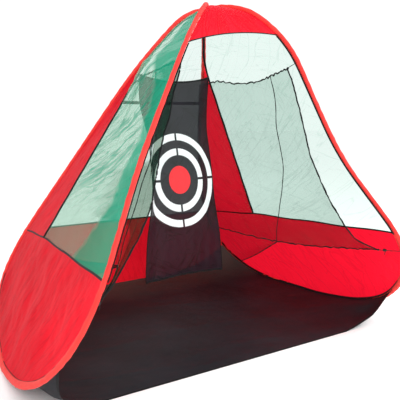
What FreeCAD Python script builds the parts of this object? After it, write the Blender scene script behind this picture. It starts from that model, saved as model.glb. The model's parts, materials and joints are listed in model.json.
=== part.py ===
import FreeCAD, Part
import os
import math

# Pop-up golf chipping net: two leaning sprung hoops that cross at the top,
# mesh wings and rear wall, coloured skirts, a ground sheet, two side catch
# nets and a hanging target.  Millimetres, +X right as the player faces the
# net, +Y to the back, +Z up, origin on the ground at the middle of the
# footprint.

V = FreeCAD.Vector
doc = FreeCAD.newDocument("golf_chipping_net")
sheet = doc.addObject("Spreadsheet::Sheet", "Sizes")

# ---------------------------------------------------------------- sizes
sizes = [
    ("sleeve_radius", 15.0), ("sleeve_bore", 12.6), ("wire_radius", 2.5),
    ("crossing_gap", 64.0), ("sleeve_joint_gap", 0.8), ("seam_gap", 3.0),
    ("mesh_thick", 0.6), ("skirt_thick", 0.8), ("floor_thick", 0.8),
    ("target_thick", 0.8), ("net_thick", 0.6), ("tape_thick", 1.2),
    ("tape_wide", 14.0), ("ferrule_radius", 4.4), ("ferrule_bore", 2.8),
    ("ferrule_long", 44.0), ("cover_half_long", 44.0),
    ("cover_half_wide", 11.0), ("cover_high", 30.0),
    ("strap_wide", 28.0), ("strap_thick", 1.6), ("hem_wide", 12.0),
    ("hem_high", 3.0), ("tie_radius", 2.5), ("lock_radius", 9.0),
    ("lock_bore", 3.2), ("lock_long", 24.0), ("target_tie_radius", 3.0),
    ("target_half_top", 252.0), ("target_half_low", 318.0),
    ("target_sag", 34.0), ("target_hem_high", 26.0),
    ("bend_share", 0.45), ("flat_bend_front", 100.0), ("flat_bend_rear", 150.0),
    ("crossing_forward", 331.0), ("wing_bulge", 78.0), ("top_start", 108.0),
]
# corner points of the right hoop, from the crossing down the front, along
# the ground and up the back; each corner is rounded with a tangent arc
hoop = [
    (0, 0, 2100), (148.3, -234.2, 2081.1), (341.8, -371.1, 1879.7),
    (639.2, -454.6, 1301.9), (733.3, -507.3, 1130.7), (992.8, -724.1, 688.7),
    (1105.6, -700.7, 455.7), (1205.9, -490.1, 207.5), (1258.0, -180.0, 76.0),
    (1254.0, 215.0, 15.0), (1163.0, 852.0, 15.0), (1096.2, 1130.3, 92.3),
    (1003.6, 1333.4, 250.8), (870.3, 1346.8, 489.5), (711.4, 1216.5, 779.3),
    (503.6, 919.8, 1207.6), (271.2, 465.6, 1752.7), (84.3, 162.2, 2066.0),
    (0, 0, 2100),
]
# named points of the right-hand side, millimetres
points = {
    "skirt_front": (968, -668, 728), "skirt_mid": (865, 644, 656),
    "skirt_rear": (822, 1290, 590),
    "wedge_top": (223, 383, 1800), "wedge_low": (865, 644, 656),
    "header_low": (292, -287, 1888), "header_mid": (0, -262, 1932),
    "target_top": (0, 389, 1718), "target_mid": (0, 400, 1180),
    "target_low": (0, 352, 372),
    "net_edge_a": (366, -330, 1736), "net_edge_b": (414, -352, 1599),
    "net_edge_c": (476, -368, 1395), "net_edge_d": (535, -378, 1192),
    "net_edge_e": (635, -449, 935), "net_edge_f": (747, -473, 767),
    "net_edge_g": (940, -580, 600),
    "net_seam_a": (408, -120, 1700), "net_seam_b": (446, -152, 1400),
    "net_seam_c": (498, -149, 1103), "net_seam_d": (556, -58, 818),
    "net_seam_e": (605, 20, 575),
    "net_rear_top": (0, 0, 1695), "net_rear_low": (0, 0, 440),
    "net_hem_mid": (398, -235, 1732), "net_hem_rear": (395, 130, 1672),
    "net_hem_end": (286, 275, 1684), "net_low_mid": (760, -290, 585),
    "net_low_rear": (752, 660, 500), "net_foot": (0, 0, 100),
    "floor_front": (873, -411, 1), "floor_side_a": (1000, -424, 34),
    "floor_side_b": (1112, -448, 96), "rear_foot": (1007, 1297, 234),
    "rear_foot_mid": (0, 1330, 24), "rear_wall_mid": (0, 1300, 590),
    "strap_end": (384, 614, 1553),
}
row = 1
for name, value in sizes:
    sheet.set("A%d" % row, name)
    sheet.set("B%d" % row, str(value))
    sheet.setAlias("B%d" % row, name)
    row += 1
letters = "abcdefghijklmnopqrs"
for k, p in enumerate(hoop):
    for axis, value in zip("xyz", p):
        sheet.set("A%d" % row, "hoop_%s_%s" % (letters[k], axis))
        sheet.set("B%d" % row, str(float(value)))
        sheet.setAlias("B%d" % row, "hoop_%s_%s" % (letters[k], axis))
        row += 1
for name in sorted(points):
    for axis, value in zip("xyz", points[name]):
        sheet.set("A%d" % row, "%s_%s" % (name, axis))
        sheet.set("B%d" % row, str(float(value)))
        sheet.setAlias("B%d" % row, "%s_%s" % (name, axis))
        row += 1
doc.recompute()


def size(alias):
    return float(sheet.get(alias))


FORWARD = size("crossing_forward")


def at(x, y, z):
    # the table measures from under the crossing; the origin lies behind it
    return V(x, y - FORWARD, z)


def point(alias):
    return at(size(alias + "_x"), size(alias + "_y"), size(alias + "_z"))


def flip(p, side):
    return V(p.x * side, p.y, p.z)


# ------------------------------------------------------------ hoop route
def hoop_route():
    corner = [point("hoop_" + c) for c in letters]
    share = size("bend_share")
    runs = []
    at = corner[0]
    for k in range(1, len(corner) - 1):
        back = corner[k - 1] - corner[k]
        ahead = corner[k + 1] - corner[k]
        tangent_long = share * min(back.Length, ahead.Length)
        if k == 9:
            tangent_long = size("flat_bend_front")
        if k == 10:
            tangent_long = size("flat_bend_rear")
        back.normalize()
        ahead.normalize()
        turn = math.pi - back.getAngle(ahead)
        radius = tangent_long / math.tan(turn / 2)
        bisector = back + ahead
        bisector.normalize()
        centre = corner[k] + bisector * (radius / math.cos(turn / 2))
        p0 = corner[k] + back * tangent_long
        p1 = corner[k] + ahead * tangent_long
        if (p0 - at).Length > 1e-6:
            runs.append(("line", at, p0, (p0 - at).Length))
        runs.append(("arc", centre, p0 - centre, p1 - centre, radius * turn, turn))
        at = p1
    runs.append(("line", at, corner[-1], (corner[-1] - at).Length))
    return runs


ROUTE = hoop_route()
LENGTHS = [r[3] if r[0] == "line" else r[4] for r in ROUTE]
TOTAL = sum(LENGTHS)


def run_point(run, f):
    if run[0] == "line":
        return run[1] + (run[2] - run[1]) * f
    a = run[5]
    w0 = math.sin((1 - f) * a) / math.sin(a)
    w1 = math.sin(f * a) / math.sin(a)
    return run[1] + run[2] * w0 + run[3] * w1


def on_hoop(along):
    along = min(max(along, 0.0), TOTAL)
    done = 0.0
    for run, long in zip(ROUTE, LENGTHS):
        if along <= done + long or run is ROUTE[-1]:
            return run_point(run, min(1.0, max(0.0, (along - done) / long)))
        done += long


def tangent(along):
    t = on_hoop(along + 1.0) - on_hoop(along - 1.0)
    t.normalize()
    return t


def find_height(z, first, last):
    # where the hoop passes a height between two stations
    lo, hi = first, last
    up = on_hoop(last).z > on_hoop(first).z
    for _ in range(60):
        mid = (lo + hi) / 2
        if (on_hoop(mid).z > z) == up:
            hi = mid
        else:
            lo = mid
    return (lo + hi) / 2


def hoop_wire(first, last, side):
    edges = []
    done = 0.0
    for run, long in zip(ROUTE, LENGTHS):
        a = max(first, done)
        b = min(last, done + long)
        if b - a > 1e-3:
            f0 = (a - done) / long
            f1 = (b - done) / long
            p0 = flip(run_point(run, f0), side)
            p1 = flip(run_point(run, f1), side)
            if run[0] == "line":
                edges.append(Part.makeLine(p0, p1))
            else:
                pm = flip(run_point(run, (f0 + f1) / 2), side)
                edges.append(Part.Arc(p0, pm, p1).toShape())
        done += long
    return Part.Wire(edges)


CAP = size("crossing_gap")
LOW_FRONT = find_height(size("skirt_front_z"), 300.0, 2400.0)
BASE_FRONT = find_height(235.0, LOW_FRONT, 3000.0)
BASE_REAR = find_height(150.0, 3900.0, 4800.0)
LOW_REAR = find_height(size("skirt_rear_z"), BASE_REAR, 6000.0)
EDGE = size("sleeve_radius") + size("seam_gap")


def beside(along, toward):
    # a point on the sleeve's surface, on the side that faces `toward`
    p = on_hoop(along)
    t = tangent(along)
    d = toward - p
    d = d - t * d.dot(t)
    d.normalize()
    return p + d * EDGE


# -------------------------------------------------------- made by sweeping
nodes = []
LABELS = {1: "right", -1: "left"}


def place_on(obj, p, direction):
    obj.Placement = FreeCAD.Placement(p, FreeCAD.Rotation(V(0, 0, 1), direction))


def swept(name, radius_alias, route):
    ring = doc.addObject("Part::Circle", name + "_section")
    ring.setExpression("Radius", "Sizes." + radius_alias)
    edge = route.Shape.Edges[0]
    start = edge.valueAt(edge.FirstParameter)
    place_on(ring, start, edge.tangentAt(edge.FirstParameter))
    doc.recompute()
    sweep = doc.addObject("Part::Sweep", name + "_sweep")
    sweep.Sections = [ring]
    sweep.Spine = (route, ["Edge%d" % (k + 1) for k in range(len(route.Shape.Edges))])
    sweep.Solid = True
    sweep.Frenet = False
    return sweep


def keep(obj, label):
    obj.Label = label
    nodes.append(obj)
    return obj


def rod(side, label, radius_alias, first, last, bore_alias=None):
    name = label
    route = doc.addObject("Part::Feature", name + "_route")
    route.Shape = hoop_wire(first, last, side)
    outer = swept(name, radius_alias, route)
    if bore_alias is None:
        return keep(outer, label)
    inner = swept(name + "_bore", bore_alias, route)
    cut = doc.addObject("Part::Cut", name + "_tube")
    cut.Base = outer
    cut.Tool = inner
    return keep(cut, label)


# ------------------------------------------------------- made from surfaces
def surface_solid(grid, thick):
    ni, nj = len(grid), len(grid[0])
    upper, lower = [], []
    for i in range(ni):
        up, low = [], []
        for j in range(nj):
            a = grid[min(i + 1, ni - 1)][j] - grid[max(i - 1, 0)][j]
            b = grid[i][min(j + 1, nj - 1)] - grid[i][max(j - 1, 0)]
            n = a.cross(b)
            n.normalize()
            up.append(grid[i][j] + n * (thick / 2))
            low.append(grid[i][j] - n * (thick / 2))
        upper.append(up)
        lower.append(low)
    faces = []
    sides = []
    for rows in (upper, lower):
        s = Part.BSplineSurface()
        s.interpolate(rows)
        faces.append(s.toShape())
        u0, u1, v0, v1 = s.bounds()
        sides.append([s.uIso(u0).toShape(), s.uIso(u1).toShape(),
                      s.vIso(v0).toShape(), s.vIso(v1).toShape()])
    for a, b in zip(sides[0], sides[1]):
        faces.append(Part.makeRuledSurface(a, b))

    sewn = Part.Shell(Part.makeShell(faces).Faces)
    sewn.sewShape()
    solid = Part.Solid(sewn)
    if solid.Volume < 0:
        solid.reverse()
    return solid


def cloth(label, grid, thick_alias):
    obj = doc.addObject("Part::Feature", label)
    obj.Shape = surface_solid(grid, size(thick_alias))
    return keep(obj, label)


def polyline(pts, f):
    # even-length travel along straight runs between points
    lengths = [(pts[k + 1] - pts[k]).Length for k in range(len(pts) - 1)]
    want = f * sum(lengths)
    for k, long in enumerate(lengths):
        if want <= long or k == len(lengths) - 1:
            return pts[k] + (pts[k + 1] - pts[k]) * min(1.0, want / long)
        want -= long


def smooth(pts, f):
    # a smooth curve through points (uniform Catmull-Rom)
    n = len(pts) - 1
    x = f * n
    k = min(int(x), n - 1)
    u = x - k
    p1, p2 = pts[k], pts[k + 1]
    p0 = pts[k - 1] if k > 0 else p1 * 2 - p2
    p3 = pts[k + 2] if k + 2 <= n else p2 * 2 - p1
    return (p1 * 2 + (p2 - p0) * u + (p0 * 2 - p1 * 5 + p2 * 4 - p3) * (u * u)
            + (p1 * 3 - p0 - p2 * 3 + p3) * (u * u * u)) * 0.5


def coons(top, low, left, right, ni, nj, trim=0.0):
    # a patch between four edge curves; rows run from top to low
    grid = []
    for i in range(ni):
        v = trim + (1 - 2 * trim) * i / (ni - 1)
        rowp = []
        for j in range(nj):
            u = trim + (1 - 2 * trim) * j / (nj - 1)
            p = (top(u) * (1 - v) + low(u) * v + left(v) * (1 - u) + right(v) * u
                 - (top(0) * ((1 - u) * (1 - v)) + top(1) * (u * (1 - v))
                    + low(0) * ((1 - u) * v) + low(1) * (u * v)))
            rowp.append(p)
        grid.append(rowp)
    return grid


def mirrored(grid, side):
    return [[flip(p, side) for p in r] for r in grid]


def ribbon(centre, across, wide, count):
    # a narrow strip: centre(f) and across(f) give its middle and its width line
    grid = []
    for i in range(count):
        f = i / (count - 1.0)
        c = centre(f)
        a = across(f)
        a.normalize()
        grid.append([c - a * (wide / 2), c, c + a * (wide / 2)])
    return grid


def cylinder(label, p0, p1, radius_alias, bore_alias=None):
    body = doc.addObject("Part::Cylinder", label)
    body.setExpression("Radius", "Sizes." + radius_alias)
    body.Height = (p1 - p0).Length
    place_on(body, p0, p1 - p0)
    if bore_alias is None:
        return keep(body, label)
    body.Label = label + "_outside"
    hole = doc.addObject("Part::Cylinder", label + "_hole")
    hole.setExpression("Radius", "Sizes." + bore_alias)
    hole.Height = (p1 - p0).Length + 4
    d = p1 - p0
    d.normalize()
    place_on(hole, p0 - d * 2, p1 - p0)
    cut = doc.addObject("Part::Cut", label + "_ring")
    cut.Base = body
    cut.Tool = hole
    return keep(cut, label)


joint_gap = size("sleeve_joint_gap") / 2
seam = size("seam_gap")

# the seam where the wedge meets the wing mesh, and the skirt's top seam
A = point("skirt_front")
B = point("skirt_mid")
C = point("skirt_rear")
W0 = point("wedge_top")
W1 = point("wedge_low")
SKIRT_MIDDLE = at(1010, 350, 420)
front_low_edge = beside(LOW_FRONT, at(900, 100, 800))
rear_low_edge = beside(LOW_REAR, at(865, 644, 656))
WEDGE_TOP_STATION = find_height(size("wedge_top_z"), LOW_REAR, TOTAL - 300)

for side in (1, -1):
    tag = LABELS[side] + "_"

    # sprung wire, its crimped ferrule and the fabric sleeves round it
    rod(side, tag + "hoop_wire", "wire_radius", CAP + 3, TOTAL - CAP - 3)
    rod(side, tag + "front_sleeve", "sleeve_radius", CAP, BASE_FRONT - joint_gap, "sleeve_bore")
    rod(side, tag + "base_sleeve", "sleeve_radius", BASE_FRONT + joint_gap,
        BASE_REAR - joint_gap, "sleeve_bore")
    rod(side, tag + "rear_sleeve", "sleeve_radius", BASE_REAR + joint_gap,
        TOTAL - CAP, "sleeve_bore")
    straight = point("hoop_k") - point("hoop_j")
    straight.normalize()
    mid = (point("hoop_j") + point("hoop_k")) * 0.5
    half = size("ferrule_long") / 2
    cylinder(tag + "wire_ferrule", flip(mid - straight * half, side),
             flip(mid + straight * half, side), "ferrule_radius", "ferrule_bore")

    # mesh wing between the front of the hoop and the wedge seam
    first = size("top_start")
    rear_first = TOTAL - first
    rear_line = []
    steps = 12
    for k in range(steps):
        s = rear_first + (WEDGE_TOP_STATION + 40 - rear_first) * k / (steps - 1.0)
        rear_line.append(beside(s, on_hoop(TOTAL - s) * 0.5 + at(120, -100, 700) * 0.5
                                + V(60, 0, 350)))
    inset = V(0, -1, 0) * (2.0 + seam)
    rear_line.append(W0 + inset)
    rear_line.append(W1 + inset)
    grid = []
    n = 23
    for i in range(n):
        f = i / (n - 1.0)
        back = polyline(rear_line, f)
        s = first + (LOW_FRONT - 4 - first) * f
        front = beside(s, back)
        height = (front.z + back.z) / 2
        full = size("wing_bulge") * math.exp(-((height - 1690) / 150) ** 2)
        grid.append([front + (back - front) * (j / 6.0)
                     + V(0.86, 0, 0.5) * (full * (1 - (j / 3.0 - 1) ** 2) * (1.22 - 0.44 * j / 6.0))
                     for j in range(7)])
    # the lowest row lies along the skirt seam
    cloth(tag + "wing_mesh", mirrored(grid, side), "mesh_thick")
    wing_front_low = grid[-1][0]
    wing_rear_low = grid[-1][-1]

    # solid wedge between that seam and the rear of the hoop
    grid = []
    n = 17
    for i in range(n):
        f = i / (n - 1.0)
        seam_point = W0 + (W1 - W0) * f
        s = WEDGE_TOP_STATION + (LOW_REAR + 4 - WEDGE_TOP_STATION) * f
        outer = beside(s, seam_point)
        grid.append([seam_point + (outer - seam_point) * (j / 4.0) for j in range(5)])
    cloth(tag + "wing_wedge", mirrored(grid, side), "skirt_thick")
    wedge_rear_low = grid[-1][-1]

    # skirt below, down to the hoop on the ground
    drop = V(0, 0, -(1.4 + seam))
    top_pts = [wing_front_low + drop, wing_rear_low * 0.5 + W1 * 0.5 + drop,
               wedge_rear_low + drop]
    s_front = LOW_FRONT + 8
    s_rear = LOW_REAR - 8
    top_pts[0] = beside(s_front, SKIRT_MIDDLE)
    top_pts[2] = beside(s_rear, SKIRT_MIDDLE)
    top_pts[1] = V(W1.x, W1.y, W1.z - 6)
    grid = coons(lambda u: polyline(top_pts, u),
                 lambda u: beside(BASE_FRONT + (BASE_REAR - BASE_FRONT) * u, SKIRT_MIDDLE),
                 lambda v: beside(s_front + (BASE_FRONT - s_front) * v, SKIRT_MIDDLE),
                 lambda v: beside(s_rear + (BASE_REAR - s_rear) * v, SKIRT_MIDDLE),
                 9, 17)
    cloth(tag + "wing_skirt", mirrored(grid, side), "skirt_thick")

    # binding tapes on the inner face of the seams; the rear one runs down the
    # rear sleeve and then along the wedge
    wide = size("tape_wide")
    inward = V(-1, 0, -0.45)
    inward.normalize()
    lift = inward * 4.0
    line = W1 - W0
    middle_of_net = at(0, 60, 1150)
    tape_path, tape_side = [], []
    for k in range(9):
        s = TOTAL - 190 + (WEDGE_TOP_STATION + 120 - TOTAL + 190) * k / 8.0
        edge_point = beside(s, middle_of_net)
        tape_path.append(edge_point)
        tape_side.append(tangent(s).cross(edge_point - on_hoop(s)))
    for f in (0.03, 0.12, 0.25, 0.4, 0.55, 0.7, 0.85, 0.975):
        tape_path.append(W0 + line * f + lift)
        tape_side.append(line.cross(inward))
    grid = []
    last = None
    for c, a in zip(tape_path, tape_side):
        a = V(a.x, a.y, a.z)
        a.normalize()
        if last is not None and a.dot(last) < 0:
            a = a * -1
        last = a
        grid.append([c - a * (wide / 2), c, c + a * (wide / 2)])
    cloth(tag + "wedge_tape", mirrored(grid, side), "tape_thick")
    skirt_line = [front_low_edge + V(-20, 30, -14), W1 + V(-4, 0, -14),
                  rear_low_edge + V(4, -30, -14)]
    down = V(0.35, 0, -1)
    cloth(tag + "skirt_tape",
          mirrored(ribbon(lambda f: polyline(skirt_line, f) + V(-9, 0, -6),
                          lambda f: V(down.x, down.y, down.z), wide, 9), side),
          "tape_thick")
    tape_first = find_height(size("header_low_z") + 10, 200, LOW_FRONT) + 16
    tape_last = LOW_FRONT - 60

    def tape_middle(f):
        s = tape_first + (tape_last - tape_first) * f
        p = on_hoop(s)
        return beside(s, V(0, p.y + 40, p.z))

    def tape_across(f):
        s = tape_first + (tape_last - tape_first) * f
        return tangent(s).cross(tape_middle(f) - on_hoop(s))

    cloth(tag + "front_tape", mirrored(ribbon(tape_middle, tape_across, wide, 17), side),
          "tape_thick")

    # side catch net in two panels, joined at its seam
    edge = [point("net_edge_" + c) for c in "abcdefg"]
    middle = [point("net_seam_" + c) for c in "abcde"]
    rear = []
    rear_from = find_height(size("net_rear_top_z"), LOW_REAR, TOTAL - 300)
    rear_to = find_height(size("net_rear_low_z"), BASE_REAR, LOW_REAR)
    for k in range(7):
        s = rear_from + (rear_to - rear_from) * k / 6.0
        away = V(on_hoop(s).x - 320, on_hoop(s).y - 200 - 30 * k, on_hoop(s).z - 60)
        rear.append(on_hoop(s) + (beside(s, away) - on_hoop(s)) * max(1.35, 2.5 - 0.35 * k))
    hem_front = [edge[0], point("net_hem_mid"), middle[0]]
    hem_rear = [middle[0], point("net_hem_rear"), point("net_hem_end"), rear[0]]
    low_front = [edge[-1], point("net_low_mid"), middle[-1]]
    low_rear = [middle[-1], point("net_low_rear"), rear[-1]]
    grid = coons(lambda u: smooth(hem_front, u), lambda u: smooth(low_front, u),
                 lambda v: smooth(edge, v), lambda v: smooth(middle, v), 13, 7, 0.004)
    cloth(tag + "catch_net_front", mirrored(grid, side), "net_thick")
    net_corner = grid[0][0]
    net_low_corner = grid[-1][0]
    grid = coons(lambda u: smooth(hem_rear, u), lambda u: smooth(low_rear, u),
                 lambda v: smooth(middle, v), lambda v: smooth(rear, v), 13, 7, 0.004)
    cloth(tag + "catch_net_rear", mirrored(grid, side), "net_thick")

    # its lower gusset reaches down to the foot of the hoop
    foot_from = find_height(size("net_foot_z"), 3900.0, BASE_REAR + 400)
    brink = []
    for k in range(5):
        s = rear_to + (foot_from - rear_to) * k / 4.0
        o = on_hoop(s)
        away = V(o.x - 300, o.y - 330, o.z + 120)
        brink.append(o + (beside(s, away) - o) * (1.6 + 0.5 * k))
    brink[0] = rear[-1] + V(-2, -2, -9)
    near = middle[-1] + V(0, 0, -5)
    near_low = middle[-1] + V(0, 0, -17)
    sag = V(0, 0, -14)
    grid = coons(lambda u: smooth([near, point("net_low_rear") + V(0, 0, -6), brink[0]], u),
                 lambda u: smooth([near_low, (near_low + brink[-1]) * 0.5 + sag, brink[-1]], u),
                 lambda v: near + (near_low - near) * v,
                 lambda v: smooth(brink, v), 7, 9)
    cloth(tag + "catch_net_gusset", mirrored(grid, side), "net_thick")

    # ties that hold the net and the target, and the cord lock on the low tie
    station = find_height(size("net_edge_a_z") + 30, CAP, LOW_FRONT)
    hold = on_hoop(station)
    d = hold - net_corner
    reach = d.Length
    d.normalize()
    if reach > size("sleeve_radius") + 8:
        cylinder(tag + "net_top_tie", flip(net_corner + d * 2.0, side),
                 flip(hold - d * (size("sleeve_radius") + 1.5), side), "tie_radius")
    station = find_height(size("net_edge_g_z") + 4, LOW_FRONT - 200, BASE_FRONT)
    hold = on_hoop(station)
    d = hold - net_low_corner
    d.normalize()
    tie_end = hold - d * (size("sleeve_radius") + 1.5)
    cylinder(tag + "net_low_tie", flip(net_low_corner + d * 3.0, side),
             flip(tie_end, side), "tie_radius")
    lock = net_low_corner + d * 34.0
    cylinder(tag + "cord_lock", flip(lock, side),
             flip(lock + d * size("lock_long"), side), "lock_radius", "lock_bore")
    pivot = point("target_top")
    gap = size("target_half_top") + 1.5
    reach_out = 268.0 - 5.0
    cylinder(tag + "target_tie", V(gap * side, pivot.y, pivot.z),
             V(reach_out * side, pivot.y, pivot.z), "target_tie_radius")

# ------------------------------------------------------------ shared pieces
# fabric cover sewn round the crossing
cover = doc.addObject("Part::Box", "crossing_cover")
cover.setExpression("Length", "Sizes.cover_half_wide * 2")
cover.setExpression("Width", "Sizes.cover_half_long * 2")
cover.setExpression("Height", "Sizes.cover_high")
cover.Placement = FreeCAD.Placement(
    at(-size("cover_half_wide"), -size("cover_half_long"),
      size("hoop_a_z") - size("cover_high") / 2), FreeCAD.Rotation())
keep(cover, "crossing_cover")

# header panel between the fronts of the two hoops
low = point("header_low")
crown = point("header_mid")
grid = []
n = 9
h_first, h_last = size("top_start"), find_height(low.z + 10, 200, LOW_FRONT)
for i in range(n):
    f = i / (n - 1.0)
    s = h_first + (h_last - h_first) * f
    on = on_hoop(s)
    e = beside(s, V(-on.x, on.y, on.z - 40 * f))
    m = V(0, e.y + (crown.y - low.y) * f * f, e.z + (crown.z - low.z) * f * f)
    rowp = []
    for j in range(7):
        u = -1 + 2 * j / 6.0
        a = 1 - u * u
        rowp.append(V(e.x * u, e.y + (m.y - e.y) * a, e.z + (m.z - e.z) * a))
    grid.append(rowp)
cloth("header_panel", grid, "skirt_thick")

# mesh rear wall between the backs of the two hoops
grid = []
n = 23
r_first = TOTAL - size("top_start")
for i in range(n):
    f = i / (n - 1.0)
    s = r_first + (LOW_REAR + 5 - r_first) * f
    on = on_hoop(s)
    e = beside(s, V(-on.x, on.y, on.z))
    grid.append([V(e.x * (-1 + 2 * j / 6.0), e.y, e.z) for j in range(7)])
cloth("rear_mesh", grid, "mesh_thick")

# rear skirt down to the ground sheet
top_s = LOW_REAR - 5
low_s = find_height(size("rear_foot_z") + 12, BASE_REAR - 200, LOW_REAR)


def rear_side(v):
    s = top_s + (low_s - top_s) * v
    on = on_hoop(s)
    return beside(s, V(-on.x, on.y, on.z))


foot = point("rear_foot_mid")


def rear_low(u):
    e = rear_side(1.0)
    k = -1 + 2 * u
    a = 1 - k ** 4
    return V(e.x * k, e.y + (foot.y - e.y) * a, e.z + (foot.z + 4 - e.z) * a)


e_top = rear_side(0.0)
wall = point("rear_wall_mid")
grid = coons(lambda u: V(e_top.x * (-1 + 2 * u),
                         e_top.y + (wall.y - e_top.y) * (1 - (2 * u - 1) ** 2) * 0.5, e_top.z),
             rear_low, lambda v: flip(rear_side(v), -1), rear_side, 7, 13)
cloth("rear_skirt", grid, "skirt_thick")
tape_z = V(0, -4.5, -12)
cloth("rear_skirt_tape",
      ribbon(lambda f: V((e_top.x - 14) * (-1 + 2 * f),
                         e_top.y + (wall.y - e_top.y) * (1 - (2 * f - 1) ** 2) * 0.5,
                         e_top.z) + tape_z,
             lambda f: V(0, 0, 1), size("tape_wide"), 9), "tape_thick")

# strap between the two rear sleeves
end = point("strap_end")
station = find_height(end.z, LOW_REAR, TOTAL - 300)
on = on_hoop(station)
t = tangent(station)
up = V(0, t.y, t.z)
up.normalize()
away = V(0, -up.z, up.y)
if away.y > 0:
    away = away * -1
half = on.x - size("sleeve_radius") - 3.0 - size("strap_wide") * abs(t.x) / 2
strap = doc.addObject("Part::Box", "rear_strap")
strap.Length = 2 * half
strap.setExpression("Width", "Sizes.strap_thick")
strap.setExpression("Height", "Sizes.strap_wide")
base_rotation = FreeCAD.Rotation(V(1, 0, 0), V(0, 0, 0) - away, up, "XZY")
corner = V(-half, on.y, on.z) + away * 7.0 - up * (size("strap_wide") / 2)
strap.Placement = FreeCAD.Placement(corner, base_rotation)
keep(strap, "rear_strap")

# ground sheet, taped to the hoops at its sides and to the rear skirt; its
# front corners rise in two gussets to the hoops
s_on = 2450.0
side_pts = []
for k in range(15):
    s = s_on + (low_s - 12 - s_on) * k / 14.0
    on = on_hoop(s)
    side_pts.append(beside(s, V(on.x - 300, on.y, on.z + 150 - 19 * max(0, k - 8))))
turn_at = 0.745
columns = [0.0, 0.22, 0.42, 0.57, 0.66, 0.71, turn_at, 0.77, 0.80, 0.84, 0.88, 0.92, 0.96, 1.0]
corner = point("floor_front")
corner.z = 3.2
gusset = [corner, point("floor_side_a"), point("floor_side_b"), side_pts[0]]
front_half = []
for u in columns:
    if u <= turn_at:
        near = max(0.0, u / turn_at - 0.55) / 0.45
        front_half.append(V(corner.x * u / turn_at, corner.y, 1.4 + 1.8 * near))
    else:
        front_half.append(smooth(gusset, (u - turn_at) / (1 - turn_at)))
columns = [-u for u in columns[:0:-1]] + columns
front_row = [flip(p, -1) for p in front_half[:0:-1]] + front_half
grid = []
n = 31
for i in range(n):
    f = i / (n - 1.0)
    e = polyline(side_pts, f)
    rise = min(1.0, max(0.0, (e.y + FORWARD - 700.0) / (1222.0 - 700.0)))
    mz = 1.4 + (foot.z - 1.4) * rise ** 3
    my = e.y + (foot.y - 4 - e.y) * (rise ** 2)
    rowp = []
    for u in columns:
        a = 1 - abs(u) ** 6
        b = 1 - u * u
        rowp.append(V(e.x * u, e.y + (my - e.y) * b, max(1.3, e.z + (mz - e.z) * a)))
    grid.append(rowp)
first_row, last_row = list(grid[0]), list(grid[-1])
back_row = [rear_low((u + 1) / 2) + V(0, -5, -3) for u in columns]
for i in range(n):
    f = i / (n - 1.0)
    w = max(0.0, (f - 0.8) / 0.2)
    w = w * w * (3 - 2 * w)
    q = max(0.0, 1 - f / 0.3)
    q = q * q * (3 - 2 * q)
    grid[i] = [p + (back_row[j] - last_row[j]) * w + (front_row[j] - first_row[j]) * q
               for j, p in enumerate(grid[i])]
    # the gussets ease into the ground without dipping below it
    for j, p in enumerate(grid[i]):
        ease = 8.0 * min(1.0, max(0.0, (abs(columns[j]) - 0.6) / 0.12)) * min(1.0, i / 2.0) \
            * min(1.0, q * 3)
        a = p.z - 1.4
        grid[i][j] = V(p.x, p.y, 1.4 + (a + math.sqrt(a * a + ease * ease)) / 2)
cloth("floor_sheet", grid, "floor_thick")

# hem along the front of the ground sheet
hem = doc.addObject("Part::Box", "floor_front_hem")
hem.setExpression("Length", "(Sizes.floor_front_x - 6) * 2")
hem.setExpression("Width", "Sizes.hem_wide")
hem.setExpression("Height", "Sizes.hem_high")
front = point("floor_front")
hem.Placement = FreeCAD.Placement(V(-(front.x - 6), front.y - 2.5 - size("hem_wide"), 0),
                                  FreeCAD.Rotation())
keep(hem, "floor_front_hem")

# hanging target with its two hems
top = point("target_top")
bulge = point("target_mid")
low = point("target_low")
hem_high = size("target_hem_high")


def target_row(f, extra=0.0):
    half = size("target_half_top") + (size("target_half_low") - size("target_half_top")) * f
    c = smooth([top, bulge, low], f)
    sag = size("target_sag") * (1 - f) ** 2
    return [V(half * (-1 + 2 * j / 8.0), c.y,
              c.z - sag * (1 - ((-1 + 2 * j / 8.0)) ** 2)) for j in range(9)]


f_hem = hem_high / (top.z - low.z)
gap_f = 0.8 / (top.z - low.z)
n = 11
grid = [target_row(f_hem + gap_f + (1 - 2 * (f_hem + gap_f)) * i / (n - 1.0)) for i in range(n)]
cloth("target_sheet", grid, "target_thick")
cloth("target_top_hem", [target_row(f_hem * k / 2.0) for k in range(3)], "target_thick")
cloth("target_bottom_hem", [target_row(1 - f_hem + f_hem * k / 2.0) for k in range(3)],
      "target_thick")

# ------------------------------------------------------------- write it out
doc.recompute()
bad = []
for obj in doc.Objects:
    if "Invalid" in obj.State or "Error" in obj.State:
        bad.append(obj.Label + " " + str(obj.State))
for obj in nodes:
    shape = obj.Shape
    if shape.isNull() or not shape.isValid() or len(shape.Solids) != 1 or shape.Volume <= 0:
        bad.append(obj.Label + " shape")
if bad:
    for line in bad:
        print("BAD", line)
    raise RuntimeError("the model has faulty objects")
os.makedirs("parts", exist_ok=True)
for obj in nodes:
    obj.Shape.exportStep(os.path.join("parts", obj.Label + ".step"))
box = nodes[0].Shape.BoundBox
for obj in nodes[1:]:
    box.add(obj.Shape.BoundBox)
print(len(nodes), "nodes", [round(v, 1) for v in (box.XMin, box.XMax, box.YMin, box.YMax, box.ZMin, box.ZMax)])
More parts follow.
